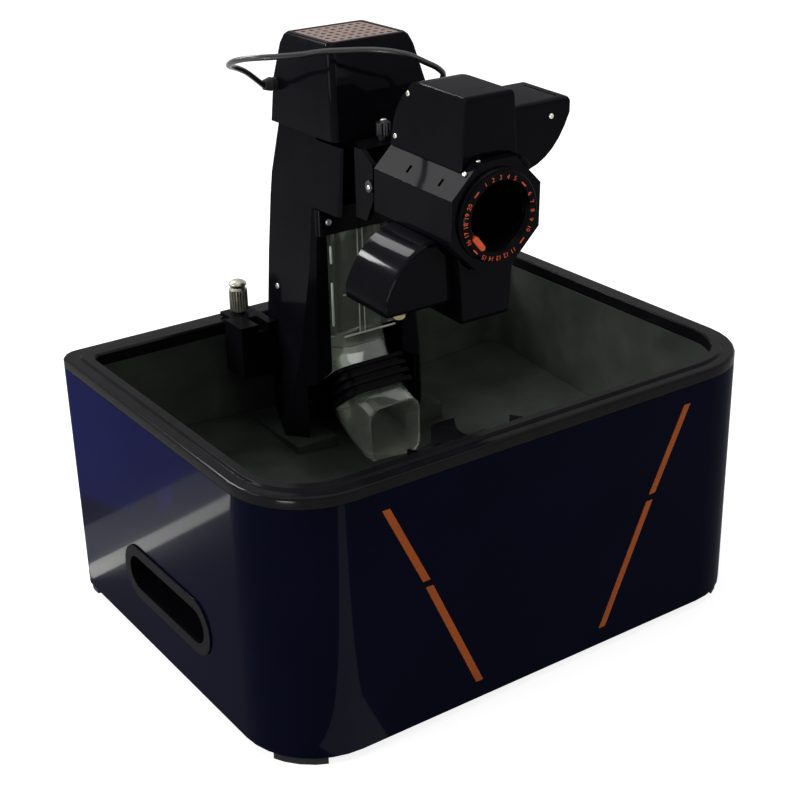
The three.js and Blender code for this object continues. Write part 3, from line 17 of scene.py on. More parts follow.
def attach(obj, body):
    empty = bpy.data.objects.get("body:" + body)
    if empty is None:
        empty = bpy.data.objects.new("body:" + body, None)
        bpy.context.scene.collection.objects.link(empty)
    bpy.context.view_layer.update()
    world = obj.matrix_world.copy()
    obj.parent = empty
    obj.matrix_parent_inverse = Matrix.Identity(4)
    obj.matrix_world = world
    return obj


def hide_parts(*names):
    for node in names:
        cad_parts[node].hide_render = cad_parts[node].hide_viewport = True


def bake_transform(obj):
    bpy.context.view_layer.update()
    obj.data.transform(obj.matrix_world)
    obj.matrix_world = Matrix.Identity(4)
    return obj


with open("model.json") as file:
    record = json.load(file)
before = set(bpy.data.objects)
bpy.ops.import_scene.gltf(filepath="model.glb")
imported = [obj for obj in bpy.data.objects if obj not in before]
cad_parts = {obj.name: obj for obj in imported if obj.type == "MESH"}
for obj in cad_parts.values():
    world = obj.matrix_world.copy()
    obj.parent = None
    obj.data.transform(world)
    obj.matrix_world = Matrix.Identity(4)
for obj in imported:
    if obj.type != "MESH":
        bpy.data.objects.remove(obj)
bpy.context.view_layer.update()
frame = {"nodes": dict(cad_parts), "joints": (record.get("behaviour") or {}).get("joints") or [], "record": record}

NODES = frame["nodes"]
BODY_OF = {n: body for body, names in frame["record"]["behaviour"]["bodies"].items() for n in names}
SLOT_OF = {s["node"]: s["material_slot"] for s in frame["record"]["subparts"]}
JOINTS = {j["name"]: j for j in frame["joints"]}
MM = 0.001

# Camera: where it stands, which way it looks, and its focal length in pixels of an 800 pixel frame
CAMERA_PLACE = Vector((-0.56792, -0.81545, 0.60499))
CAMERA_AZIMUTH = math.radians(34.44)
CAMERA_DROP = math.radians(24.467)
CAMERA_ROLL = math.radians(-1.294)
CAMERA_RANGE = (0.05, 60)
FOCAL_PIXELS = 1527.19
FRAME_PIXELS = 800
SENSOR = 36.0


def make_camera():
    """The photo's camera, as fitted to the hopper's outline."""
    forward = Vector((
        math.sin(CAMERA_AZIMUTH) * math.cos(CAMERA_DROP),
        math.cos(CAMERA_AZIMUTH) * math.cos(CAMERA_DROP),
        -math.sin(CAMERA_DROP),
    ))
    level_right = Vector((math.cos(CAMERA_AZIMUTH), -math.sin(CAMERA_AZIMUTH), 0))
    level_up = level_right.cross(forward)
    right = math.cos(CAMERA_ROLL) * level_right + math.sin(CAMERA_ROLL) * level_up
    up = math.cos(CAMERA_ROLL) * level_up - math.sin(CAMERA_ROLL) * level_right
    turn = Matrix((right, up, -forward)).transposed().to_4x4()
    data = bpy.data.cameras.new("camera")
    data.sensor_width = SENSOR
    data.lens = FOCAL_PIXELS / FRAME_PIXELS * SENSOR
    data.clip_start, data.clip_end = CAMERA_RANGE
    camera = bpy.data.objects.new("camera", data)
    camera.matrix_world = Matrix.Translation(CAMERA_PLACE) @ turn
    bpy.context.scene.collection.objects.link(camera)
    bpy.context.scene.camera = camera


# Materials: each is a Principled shader whose colour, roughness and bump come from noise at a real scale
def as_colour(value):
    """A ramp's colour from a colour, or from one number as a grey."""
    return (*value, 1) if hasattr(value, "__len__") else (value, value, value, 1)


class Graph:
    """A material's node tree with short calls for the nodes that repeat."""

    def __init__(self, name):
        self.material = bpy.data.materials.new(name)
        self.material.use_nodes = True
        self.tree = self.material.node_tree
        self.shader = self.tree.nodes["Principled BSDF"]
        coordinates = self.tree.nodes.new("ShaderNodeTexCoord")
        self.place = coordinates.outputs["Object"]

    def link(self, source, target):
        self.tree.links.new(source, target)

    def feed(self, source, socket):
        """Links a value to a socket of the material's own shader."""
        self.link(source, self.shader.inputs[socket])

    def node(self, kind, **settings):
        node = self.tree.nodes.new(kind)
        for key, value in settings.items():
            setattr(node, key, value)
        return node

    def scaled(self, stretch):
        mapping = self.node("ShaderNodeMapping")
        mapping.inputs["Scale"].default_value = stretch
        self.link(self.place, mapping.inputs["Vector"])
        return mapping.outputs["Vector"]

    def noise(self, size, detail=3.0, stretch=None):
        noise = self.node("ShaderNodeTexNoise")
        noise.inputs["Scale"].default_value = 1 / size
        noise.inputs["Detail"].default_value = detail
        self.link(self.scaled(stretch) if stretch else self.place, noise.inputs["Vector"])
        return noise.outputs["Fac"]

    def ramp(self, factor, low, high, start=0.35, end=0.65):
        ramp = self.node("ShaderNodeValToRGB")
        first, last = ramp.color_ramp.elements
        first.position, last.position = start, end
        first.color, last.color = as_colour(low), as_colour(high)
        self.link(factor, ramp.inputs["Fac"])
        return ramp.outputs["Color"]

    def bump(self, factor, height, after=None):
        bump = self.node("ShaderNodeBump")
        bump.inputs["Distance"].default_value = height
        self.link(factor, bump.inputs["Height"])
        if after is not None:
            self.link(after, bump.inputs["Normal"])
        return bump.outputs["Normal"]

    def set(self, **values):
        for key, value in values.items():
            self.shader.inputs[key.replace("_", " ")].default_value = value


# Each plastic: its colour and how much its clouds are lifted, its roughness and how far that strays, the
# size and height of its moulded grain, its own gloss, and the weight and roughness of a coat over it
PLASTICS = {
    "gloss_black": dict(
        colour=(0.0036, 0.0031, 0.0045), lift=1.5, roughness=0.24, spread=0.05,
        grain=0.0012, grain_height=0.000006, specular=0.002, coat=0.055, coat_roughness=0.07),
    "satin_black": dict(
        colour=(0.0034, 0.003, 0.004), lift=1.4, roughness=0.34, spread=0.06,
        grain=0.0009, grain_height=0.00002, specular=0.003, coat=0.05, coat_roughness=0.2),
    "matt_black": dict(
        colour=(0.017, 0.0195, 0.017), lift=1.5, roughness=0.42, spread=0.07,
        grain=0.0008, grain_height=0.00003, specular=0.01, coat=0.12, coat_roughness=0.36),
    "tub_black": dict(
        colour=(0.03, 0.034, 0.029), lift=1.5, roughness=0.42, spread=0.07,
        grain=0.0008, grain_height=0.00003, specular=0.01, coat=0.16, coat_roughness=0.3),
    "rim_satin": dict(
        colour=(0.0045, 0.0043, 0.0052), lift=1.6, roughness=0.3, spread=0.06,
        grain=0.0009, grain_height=0.00001, specular=0.004, coat=0.12, coat_roughness=0.12),
    "rubber_black": dict(
        colour=(0.011, 0.011, 0.011), lift=1.8, roughness=0.7, spread=0.08,
        grain=0.0006, grain_height=0.00004, specular=0.2),
    "lead_jacket": dict(
        colour=(0.01, 0.01, 0.0105), lift=1.6, roughness=0.34, spread=0.05,
        grain=0.001, grain_height=0.00001, specular=0.4),
    "tyre_foam": dict(
        colour=(0.045, 0.05, 0.055), lift=1.5, roughness=0.85, spread=0.08,
        grain=0.0005, grain_height=0.00008, specular=0.2),
    "orange_inlay": dict(
        colour=(0.445, 0.1, 0.022), lift=1.15, roughness=0.38, spread=0.05,
        grain=0.0008, grain_height=0.00001, specular=0.05),
    "orange_print": dict(
        colour=(0.95, 0.13, 0.03), lift=1.1, roughness=0.4, spread=0.05,
        grain=0.0006, grain_height=0.000004, specular=0.3),
    # Pale greenish grey for the bars on the clear tube's edges: a painted highlight, not the plastic's own colour
    "tube_highlight_paint": dict(
        colour=(0.42, 0.46, 0.38), lift=1.3, roughness=0.3, spread=0.06,
        grain=0.001, grain_height=0.000008, specular=0.4),
    "nylon": dict(
        colour=(0.66, 0.64, 0.58), lift=1.08, roughness=0.42, spread=0.06,
        grain=0.0008, grain_height=0.00001, specular=0.4),
    "cream_rubber": dict(
        colour=(0.72, 0.64, 0.34), lift=1.15, roughness=0.45, spread=0.06,
        grain=0.0006, grain_height=0.00002, specular=0.4),
}
CLOUD_SIZE = 0.03
GLOSS_SIZE = 0.012
WAVE_SIZE = 0.02
WAVE_HEIGHT = 0.00006

# Each metal: its colour, its roughness, and the size of its turning lines
METALS = {
    "nickel": dict(colour=(0.62, 0.6, 0.55), roughness=0.24, scratch=0.0008),
    "warm_nickel": dict(colour=(0.34, 0.325, 0.27), roughness=0.3, scratch=0.0008),
    "vent_bronze": dict(colour=(0.2, 0.135, 0.115), roughness=0.45, scratch=0.0009),
    "gunmetal": dict(colour=(0.035, 0.034, 0.037), roughness=0.34, scratch=0.0008),
    "steel": dict(colour=(0.42, 0.43, 0.44), roughness=0.34, scratch=0.0006),
    "aluminium": dict(colour=(0.66, 0.67, 0.68), roughness=0.3, scratch=0.0008),
}
TARNISH_SIZE = 0.004
TARNISH = 0.8
LINE_STRETCH = (1, 1, 12)
LINE_HEIGHT = 0.00001
LINE_GLOSS = (0.7, 1.5)

LACQUER_TONES = ((0.0018, 0.0022, 0.011), (0.0024, 0.0028, 0.014))
CLEAR_TINTS = ((0.8, 0.86, 0.76), (0.9, 0.95, 0.86))
BOARD_GREENS = ((0.05, 0.28, 0.12), (0.02, 0.14, 0.06))
BOARD_CELL = 0.009


def plastic(name, colour, lift, roughness, spread, grain, grain_height, specular,
            coat=0.0, coat_roughness=0.06):
    """Moulded plastic: cloudy colour, uneven gloss, and a fine moulded grain."""
    graph = Graph(name)
    lighter = tuple(c * lift for c in colour)
    graph.feed(graph.ramp(graph.noise(CLOUD_SIZE), colour, lighter), "Base Color")
    gloss = graph.ramp(graph.noise(GLOSS_SIZE, 5), roughness - spread, roughness + spread)
    graph.feed(gloss, "Roughness")
    fine = graph.bump(graph.noise(grain, 2), grain_height)
    graph.feed(graph.bump(graph.noise(WAVE_SIZE, 1), WAVE_HEIGHT, after=fine), "Normal")
    graph.set(Specular_IOR_Level=specular, Coat_Weight=coat, Coat_Roughness=coat_roughness)
    return graph.material


def lacquer_material():
    """Deep blue-black lacquer with a faint orange peel and a few hairlines."""
    graph = Graph("lacquer")
    graph.feed(graph.ramp(graph.noise(0.08, 2), *LACQUER_TONES), "Base Color")
    hairlines = graph.ramp(graph.noise(0.004, 2, stretch=(1, 1, 14)), 0.3, 0.4, start=0.45, end=0.75)
    graph.feed(hairlines, "Roughness")
    peel = graph.bump(graph.noise(0.006, 1), 0.00002)
    graph.feed(graph.bump(graph.noise(0.09, 1), 0.0004, after=peel), "Normal")
    graph.set(Specular_IOR_Level=0.001, Coat_Weight=0.03, Coat_Roughness=0.07)
    return graph.material


def metal(name, colour, roughness, scratch):
    """Plated or drawn metal with fine turning lines and slight tarnish."""
    graph = Graph(name)
    dull = tuple(c * TARNISH for c in colour)
    graph.feed(graph.ramp(graph.noise(TARNISH_SIZE), dull, colour), "Base Color")
    lines = graph.noise(scratch, 3, stretch=LINE_STRETCH)
    graph.feed(graph.ramp(lines, *(roughness * share for share in LINE_GLOSS)), "Roughness")
    graph.feed(graph.bump(lines, LINE_HEIGHT), "Normal")
    graph.set(Metallic=1.0)
    return graph.material


def clear_material():
    """Clear moulded plastic with a smoky green tint."""
    graph = Graph("clear_tube")
    graph.feed(graph.ramp(graph.noise(0.02), *CLEAR_TINTS), "Base Color")
    graph.feed(graph.ramp(graph.noise(0.006, 4), 0.02, 0.07), "Roughness")
    graph.feed(graph.bump(graph.noise(0.015, 1), 0.00004), "Normal")
    graph.set(IOR=1.49, Transmission_Weight=0.95)
    return graph.material


def board_material():
    """Solder mask over copper traces."""
    graph = Graph("board")
    cells = graph.node("ShaderNodeTexVoronoi", feature="DISTANCE_TO_EDGE")
    cells.inputs["Scale"].default_value = 1 / BOARD_CELL
    graph.link(graph.place, cells.inputs["Vector"])
    traces = graph.ramp(cells.outputs["Distance"], *BOARD_GREENS, start=0.03, end=0.06)
    graph.feed(traces, "Base Color")
    graph.feed(graph.ramp(graph.noise(0.005), 0.35, 0.5), "Roughness")
    return graph.material


def make_materials():
    """All materials by name; each material slot of the CAD has one of its own name."""
    made = {name: plastic(name, **look) for name, look in PLASTICS.items()}
    made.update({name: metal(name, **look) for name, look in METALS.items()})
    made["lacquered_shell"] = lacquer_material()
    made["clear_tube"] = clear_material()
    made["board_green"] = board_material()
    return made


MATERIALS = make_materials()

# Rounding of each node's edges in mm; the others get the usual one, and the lead needs none
USUAL_EDGE = 0.4
EDGES = {
    "outer_skin": 0.5, "rim_frame": 0.5, "hopper_tub": 0.8, "tower_shell": 1.0, "top_housing": 1.2,
    "vent_grille": 0.15, "upper_wheel_housing": 1.4, "lower_wheel_housing": 1.4,
    "upper_motor_cover": 1.0, "lower_motor_cover": 1.0, "barrel": 0.7, "tube_clamp": 1.2,
    "accessory_block": 0.8, "ball_tube": 0.25, "handle_cup_left": 1.0, "handle_cup_right": 1.0,
    "nozzle_ring": 0.3, "swing_yoke": 0.5, "disc_gear": 0.1, "drive_pinion": 0.1,
    "head_lead": 0, "thumb_screw": 0.12, "tilt_screw": 0.1,
}
# Nodes whose rounding isn't narrowed where short edges meet
WIDE_EDGES = ("upper_wheel_housing", "lower_wheel_housing")
EDGE_STEPS = 3
SHARP_ANGLE = math.radians(28)
FLAT_ANGLE = math.radians(0.6)
WELD_REACH = 0.000002

# Nodes whose finish differs a little from others of the same slot
FINISHES = {
    "vent_grille": "vent_bronze", "tilt_screw": "gunmetal", "tilt_pin_left": "gunmetal",
    "tilt_pin_right": "gunmetal", "ring_pointer": "orange_print", "rim_frame": "rim_satin",
    "handle_cup_left": "gloss_black", "handle_cup_right": "gloss_black", "hopper_tub": "tub_black",
    "thumb_screw": "warm_nickel",
}


def dress_nodes():
    """Gives every CAD node its material and rounded, smoothly shaded edges."""
    for name, node in NODES.items():
        node.data.materials.clear()
        node.data.materials.append(MATERIALS[FINISHES.get(name, SLOT_OF[name])])
        for polygon in node.data.polygons:
            polygon.use_smooth = True
        weld = node.modifiers.new("weld", "WELD")
        weld.merge_threshold = WELD_REACH
        flats = node.modifiers.new("flats", "DECIMATE")
        flats.decimate_type = "DISSOLVE"
        flats.angle_limit = FLAT_ANGLE
        width = EDGES.get(name, USUAL_EDGE) * MM
        if width:
            edges = node.modifiers.new("edges", "BEVEL")
            edges.width = width
            edges.segments = EDGE_STEPS
            edges.limit_method = "ANGLE"
            edges.angle_limit = SHARP_ANGLE
            edges.use_clamp_overlap = name not in WIDE_EDGES
        node.modifiers.new("normals", "WEIGHTED_NORMAL")


# What the added pieces' meshes share
def ring_round(shape, centre, reach, side, other, sides):
    """A ring of points round a centre, in the plane of two crossing directions."""
    ring = []
    for i in range(sides):
        angle = 2 * math.pi * i / sides
        ring.append(shape.verts.new(centre + reach * (math.cos(angle) * side + math.sin(angle) * other)))
    return ring


def turned_rings(shape, profile, sides):
    """Level rings round the Z axis, one for each radius and height of a profile."""
    rings = []
    for radius, height in profile:
        ring = []
        for i in range(sides):
            angle = 2 * math.pi * i / sides
            ring.append(shape.verts.new((radius * math.cos(angle), radius * math.sin(angle), height)))
        rings.append(ring)
    return rings


def join_rings(shape, rings):
    """Smooth faces from each ring to the next."""
    for low, high in zip(rings, rings[1:]):
        for i in range(len(low)):
            j = (i + 1) % len(low)
            shape.faces.new((low[i], low[j], high[j], high[i])).smooth = True


def made_mesh(name, shape):
    """The mesh of a finished shape."""
    mesh = bpy.data.meshes.new(name)
    shape.to_mesh(mesh)
    shape.free()
    return mesh


def add_object(name, mesh, slot, finish=None):
    """Puts a mesh into the scene, with its material slot and its finish."""
    piece = bpy.data.objects.new(name, mesh)
    bpy.context.scene.collection.objects.link(piece)
    mesh.materials.append(MATERIALS[finish or slot])
    return piece


# The lead: the same route as in the CAD, from the tower housing to the yoke
LEAD_DIAMETER = 4 * MM
LEAD_SIDES = 16
LEAD_STEPS = 160
LEAD_ROUTE_MM = [
    (-48.6, 100, 368.5), (-58.9, 95, 376.4), (-66.6, 91, 381.7), (-75, 86, 386),
    (-83, 80, 389.2), (-89.2, 72, 392.5), (-91.4, 62, 396.7), (-89.9, 50, 400.1),
    (-84.9, 38, 402.2), (-74.7, 30, 402.8), (-62, 24, 403.2), (-47, 22, 403.4),
    (-32.8, 16, 403.2), (-19.1, 10, 402.6), (-9, 2, 401.6), (2.4, -4, 398.4),
    (13.1, -6, 393), (23.4, -6, 387.4), (29, -4, 382), (27, 1, 372),
    (20, 6, 361), (14.6, 9.5, 354.5), (14, 10, 349.9),
]
CURVE_STEPS = 20
TINY = 1e-9
TINY_LENGTH = 1e-12


def spline_through(points, steps):
    """Evenly spaced points on a centripetal curve through the given ones, and the curve's length."""
    points = [Vector(p) for p in points]
    ends = [2 * points[0] - points[1], *points, 2 * points[-1] - points[-2]]
    dense = []
    for i in range(1, len(ends) - 2):
        before, start, end, after = ends[i - 1:i + 3]
        pairs = ((before, start), (start, end), (end, after))
        t0, t1, t2 = (math.sqrt(max((b - a).length, TINY)) for a, b in pairs)
        out = ((start - before) / t0 - (end - before) / (t0 + t1) + (end - start) / t1) * t1
        into = ((end - start) / t1 - (after - start) / (t1 + t2) + (after - end) / t2) * t1
        for j in range(CURVE_STEPS):
            t = j / CURVE_STEPS
            dense.append(
                (2 * t ** 3 - 3 * t ** 2 + 1) * start + (t ** 3 - 2 * t ** 2 + t) * out
                + (-2 * t ** 3 + 3 * t ** 2) * end + (t ** 3 - t ** 2) * into
            )
    dense.append(points[-1])
    lengths = [0.0]
    for a, b in zip(dense, dense[1:]):
        lengths.append(lengths[-1] + (b - a).length)
    even = []
    k = 0
    for i in range(steps + 1):
        want = lengths[-1] * i / steps
        while k < len(dense) - 2 and lengths[k + 1] < want:
            k += 1
        share = (want - lengths[k]) / max(lengths[k + 1] - lengths[k], TINY_LENGTH)
        even.append(dense[k].lerp(dense[k + 1], min(share, 1)))
    return even, lengths[-1]


def tube_mesh(name, path, radius, sides):
    """A closed tube along a path, its rings carried forward without twist."""
    shape = bmesh.new()
    side = (path[1] - path[0]).normalized().orthogonal().normalized()
    rings = []
    for i, point in enumerate(path):
        ahead = (path[min(i + 1, len(path) - 1)] - path[max(i - 1, 0)]).normalized()
        side = (side - ahead * side.dot(ahead)).normalized()
        rings.append(ring_round(shape, point, radius, side, ahead.cross(side), sides))
    join_rings(shape, rings)
    shape.faces.new(list(reversed(rings[0])))
    shape.faces.new(rings[-1])
    return made_mesh(name, shape)


def make_lead():
    """The lead, as a cord that stands for the CAD's."""
    route = [Vector(p) * MM for p in LEAD_ROUTE_MM]
    path, length = spline_through(route, LEAD_STEPS)
    lead = add_object("lead", tube_mesh("lead", path, LEAD_DIAMETER / 2, LEAD_SIDES), "lead_jacket")
    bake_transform(lead)
    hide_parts("head_lead")


# Small parts that the CAD leaves out, each seated on the surface that carries it
LEVEL_ENOUGH = 0.1


def surface_near(node, place_mm):
    """The nearest point of a CAD node's surface to a place, and the outward normal there."""
    mesh = NODES[node].data
    tree = BVHTree.FromPolygons([v.co for v in mesh.vertices], [p.vertices for p in mesh.polygons])
    point, normal = tree.find_nearest(Vector(place_mm) * MM)[:2]
    return point, normal


def frame_at(point, normal, spin=0.0):
    """A frame whose Z axis is the normal, with its X axis level."""
    z = normal.normalized()
    x = Vector((0, 0, 1)).cross(z)
    if x.length < LEVEL_ENOUGH:
        x = Vector((1, 0, 0))
    x.normalize()
    turn = Matrix((x, z.cross(x), z)).transposed().to_4x4()
    return Matrix.Translation(point) @ turn @ Matrix.Rotation(spin, 4, "Z")


# A screw's head: shares of its radius and height from the seat up, then its cross recess
SCREW_PROFILE = [(1, -0.25), (1, 0.35), (0.95, 0.62), (0.86, 0.84), (0.74, 0.96), (0.68, 1)]
SCREW_SIDES = 28
CROSS_REACH = 0.55
CROSS_HALF = 0.14
CROSS_FLOOR = 0.35


def cross_outline(reach, half):
    """The outline of a cross with four arms, given their reach and half their width."""
    arm = [(reach, -half), (reach, half), (half, half)]
    points = []
    for quarter in range(4):
        c, s = math.cos(math.pi / 2 * quarter), math.sin(math.pi / 2 * quarter)
        points += [(c * x - s * y, s * x + c * y) for x, y in arm]
    return points


def screw_mesh(name, radius, height):
    """A pan-head screw: a domed rim, and a cross recess sunk in its flat crown."""
    shape = bmesh.new()
    profile = [(share * radius, rise * height) for share, rise in SCREW_PROFILE]
    rings = turned_rings(shape, profile, SCREW_SIDES)
    join_rings(shape, rings)
    shape.faces.new(list(reversed(rings[0])))
    outline = cross_outline(CROSS_REACH * radius, CROSS_HALF * radius)
    edge = [shape.verts.new((x, y, height)) for x, y in outline]
    recess = [shape.verts.new((x, y, height * CROSS_FLOOR)) for x, y in outline]
    crown = rings[-1] + edge
    for a, b, c in tessellate_polygon([[v.co for v in rings[-1]], [v.co for v in edge]]):
        shape.faces.new((crown[a], crown[b], crown[c]))
    for i in range(len(edge)):
        j = (i + 1) % len(edge)
        shape.faces.new((edge[j], edge[i], recess[i], recess[j]))
    for a, b, c in tessellate_polygon([[v.co for v in recess]]):
        shape.faces.new((recess[a], recess[b], recess[c]))
    bmesh.ops.recalc_face_normals(shape, faces=shape.faces)
    return made_mesh(name, shape)


# Each screw: its name, the node that carries it, a place near it in mm, its radius and height in mm, and
# its metal. Each is turned a little further than the one before, so that no two crosses look aligned
SCREWS = [
    ("upper_housing_screw_high", "upper_wheel_housing", (-19.5, -32.6, 382.0), 1.8, 0.9, "nickel"),
    ("upper_housing_screw_low", "upper_wheel_housing", (-21.8, -20.8, 352.8), 1.8, 0.9, "nickel"),
    ("upper_cover_screw", "upper_motor_cover", (55.0, -83.6, 365.6), 1.9, 0.9, "nickel"),
    ("lower_housing_screw_high", "lower_wheel_housing", (21.6, -22.0, 282.0), 1.8, 0.9, "nickel"),
    ("lower_housing_screw_low", "lower_wheel_housing", (19.5, -34.0, 251.0), 1.8, 0.9, "nickel"),
    ("barrel_screw_left", "barrel", (-21.4, -94.0, 343.5), 1.7, 1.3, "nickel"),
    ("barrel_screw_top", "barrel", (-12.4, -95.4, 352.2), 1.5, 1.2, "nickel"),
    ("barrel_screw_right", "barrel", (21.4, -94.0, 343.5), 1.7, 1.3, "nickel"),
    ("tilt_pin_screw_left", "tilt_pin_left", (-38.0, -8.0, 318.0), 1.7, 0.8, "nickel"),
    ("tilt_pin_screw_right", "tilt_pin_right", (38.0, -8.0, 318.0), 1.7, 0.8, "nickel"),
    ("tilt_screw_tip", "tilt_screw", (-7.0, 15.0, 356.0), 2.2, 0.9, "nickel"),
    ("clamp_screw_left", "tube_clamp", (-34.0, 46.0, 280.5), 2.4, 1.2, "steel"),
    ("clamp_screw_right", "tube_clamp", (34.0, 46.0, 280.5), 2.4, 1.2, "steel"),
    ("tower_screw_left", "tower_shell", (-47.0, 98.0, 221.6), 2.2, 0.9, "steel"),
    ("tower_screw_right", "tower_shell", (47.0, 98.0, 221.6), 2.2, 0.9, "steel"),
    ("housing_screw_left", "top_housing", (-37.5, 98.0, 352.0), 1.9, 0.8, "steel"),
    ("housing_screw_right", "top_housing", (37.5, 98.0, 352.0), 1.9, 0.8, "steel"),
    ("skin_screw_left", "outer_skin", (-200.0, 143.0, 14.0), 1.6, 0.6, "nickel"),
    ("skin_screw_right", "outer_skin", (200.0, 143.0, 14.0), 1.6, 0.6, "nickel"),
]
FIRST_SPIN = 0.5
SPIN_STEP = 0.7


def make_screws():
    """The small cross-slot screws, each riding on the body of its node."""
    for index, (name, node, place_mm, radius, height, slot) in enumerate(SCREWS):
        point, normal = surface_near(node, place_mm)
        mesh = screw_mesh(name, radius * MM, height * MM)
        mesh.transform(frame_at(point, normal, FIRST_SPIN + SPIN_STEP * index))
        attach(add_object(name, mesh, slot), BODY_OF[node])


# The ring's print: plain numbers in four arcs, clockwise from the top, with a dash between each two arcs
PRINT_RADIUS = 26.1 * MM
PRINT_SIZE = 4.3 * MM
PRINT_STEP = math.radians(13)
PRINT_PROUD = 0.12 * MM
PRINT_CURVE_STEPS = 3
ARCS = 4
NUMBERS_PER_ARC = 5
ARC = 2 * math.pi / ARCS
DASH = (4.6 * MM, 0.9 * MM)
DASH_ROUNDING = 0.4


def number_mesh(words):
    """A number as a thin raised print, centred on its origin."""
    curve = bpy.data.curves.new("number", "FONT")
    curve.body = words
    curve.size = PRINT_SIZE
    curve.align_x = "CENTER"
    curve.align_y = "CENTER"
    curve.extrude = PRINT_PROUD
    curve.resolution_u = PRINT_CURVE_STEPS
    holder = bpy.data.objects.new("number", curve)
    bpy.context.scene.collection.objects.link(holder)
    bpy.context.view_layer.update()
    mesh = bpy.data.meshes.new_from_object(holder.evaluated_get(bpy.context.evaluated_depsgraph_get()))
    bpy.data.objects.remove(holder)
    bpy.data.curves.remove(curve)
    return mesh


def dash_mesh():
    """A dash with rounded ends, as proud as the numbers."""
    dash = bmesh.new()
    bmesh.ops.create_cube(dash, size=1, matrix=Matrix.Diagonal((*DASH, 2 * PRINT_PROUD, 1)))
    upright = [e for e in dash.edges if abs((e.verts[0].co - e.verts[1].co).z) > PRINT_PROUD]
    bmesh.ops.bevel(dash, geom=upright, offset=DASH[1] * DASH_ROUNDING, segments=4, affect="EDGES",
                    profile=0.5)
    return made_mesh("dash", dash)


def make_ring_print():
    """The print on the front of the nozzle ring, in one mesh."""
    ring = NODES["nozzle_ring"].data.vertices
    ahead = -Vector(JOINTS["head_roll"]["axis"]).normalized()
    centre = sum((v.co for v in ring), Vector()) / len(ring)
    front = max(v.co.dot(ahead) for v in ring)
    centre += ahead * (front - centre.dot(ahead))
    across = Vector((1, 0, 0))
    rise = ahead.cross(across).normalized()
    if rise.z < 0:
        rise.negate()
    shape = bmesh.new()

    def add(mesh, angle):
        """Lays a mesh on the ring, with its top outwards."""
        out = math.cos(angle) * across + math.sin(angle) * rise
        along = out.cross(ahead)
        turn = Matrix((along, out, ahead)).transposed()
        if turn.determinant() < 0:
            turn = Matrix((-along, out, ahead)).transposed()
        mesh.transform(Matrix.Translation(centre + PRINT_RADIUS * out) @ turn.to_4x4())
        shape.from_mesh(mesh)
        bpy.data.meshes.remove(mesh)

    for side in range(ARCS):
        middle = math.pi / 2 - side * ARC
        for k in range(NUMBERS_PER_ARC):
            number = side * NUMBERS_PER_ARC + k + 1
            add(number_mesh(str(number)), middle + (NUMBERS_PER_ARC // 2 - k) * PRINT_STEP)
        add(dash_mesh(), middle - ARC / 2)
    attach(add_object("ring_print", made_mesh("ring_print", shape), "orange_inlay", "orange_print"), "head")


# The rounded lug behind the ring, in mm: a place near it, its size, its rounding, and how deep it sits
LUG_PLACE = (22.5, -93.5, 345.0)
LUG_SIZE = (12, 9, 4.2)
LUG_ROUNDING = 1.8
LUG_SINK = 0.4
LUG_STEPS = 4


def rounded_block(name, size, radius, steps):
    """A box with all its edges rounded, centred on its base."""
    shape = bmesh.new()
    box = Matrix.Translation((0, 0, size[2] / 2)) @ Matrix.Diagonal((*size, 1))
    bmesh.ops.create_cube(shape, size=1, matrix=box)
    bmesh.ops.bevel(shape, geom=list(shape.edges), offset=radius, segments=steps, affect="EDGES",
                    profile=0.5)
    for face in shape.faces:
        face.smooth = True
    return made_mesh(name, shape)


def make_barrel_lug():
    """The rounded lug on the barrel's upper right facet."""
    point, normal = surface_near("barrel", LUG_PLACE)
    mesh = rounded_block("barrel_lug", tuple(side * MM for side in LUG_SIZE), LUG_ROUNDING * MM, LUG_STEPS)
    mesh.transform(frame_at(point - normal * LUG_SINK * MM, normal))
    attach(add_object("barrel_lug", mesh, "gloss_black"), "head")


# Pale bars on the clear tube: along its flange edges, two rings and a double seam. The bars give these real edges
# their shape, and their pale colour is a painted highlight where the edges catch the light. Each is a round bar
# from one point to another, in mm, with its radius
TUBE_LINES = [
    ("tube_flange_left_high", (-33.2, 45.6, 250), (-33.2, 45.6, 263), 0.9),
    ("tube_flange_left_middle", (-33.2, 45.6, 203), (-33.2, 45.6, 236), 0.9),
    ("tube_flange_right_high", (33.2, 45.6, 250), (33.2, 45.6, 263), 0.9),
    ("tube_flange_right_middle", (33.2, 45.6, 203), (33.2, 45.6, 236), 0.9),
    ("tube_ring_high", (-22.2, 49.0, 223), (22.2, 49.0, 223), 0.55),
    ("tube_ring_low", (-22.2, 49.0, 191), (22.2, 49.0, 191), 0.7),
    ("tube_seam_left", (-8.7, 49.0, 191), (-8.7, 49.0, 270), 0.4),
    ("tube_seam_right", (-4.5, 49.0, 191), (-4.5, 49.0, 270), 0.4),
]
BAR_SIDES = 12
# Shares of the bar's radius: how far in from its end, and how wide it is there
BAR_END = [(0.0, 0.3), (0.1, 0.55), (0.35, 0.82), (0.8, 1.0)]


def bar_mesh(name, start, end, radius):
    """A round bar with rounded ends."""
    axis = (end - start).normalized()
    length = (end - start).length
    stations = [(inward * radius, width) for inward, width in BAR_END]
    stations += [(length - inward * radius, width) for inward, width in reversed(BAR_END)]
    side = axis.orthogonal().normalized()
    other = axis.cross(side)
    shape = bmesh.new()
    rings = [
        ring_round(shape, start + axis * distance, radius * width, side, other, BAR_SIDES)
        for distance, width in stations
    ]
    join_rings(shape, rings)
    shape.faces.new(list(reversed(rings[0])))
    shape.faces.new(rings[-1])
    return made_mesh(name, shape)


def make_tube_lines():
    """Pale bars on the edges of the clear tube, their pale colour a painted highlight."""
    for name, start, end, radius in TUBE_LINES:
        mesh = bar_mesh(name, Vector(start) * MM, Vector(end) * MM, radius * MM)
        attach(add_object(name, mesh, SLOT_OF["ball_tube"], "tube_highlight_paint"), "hopper")


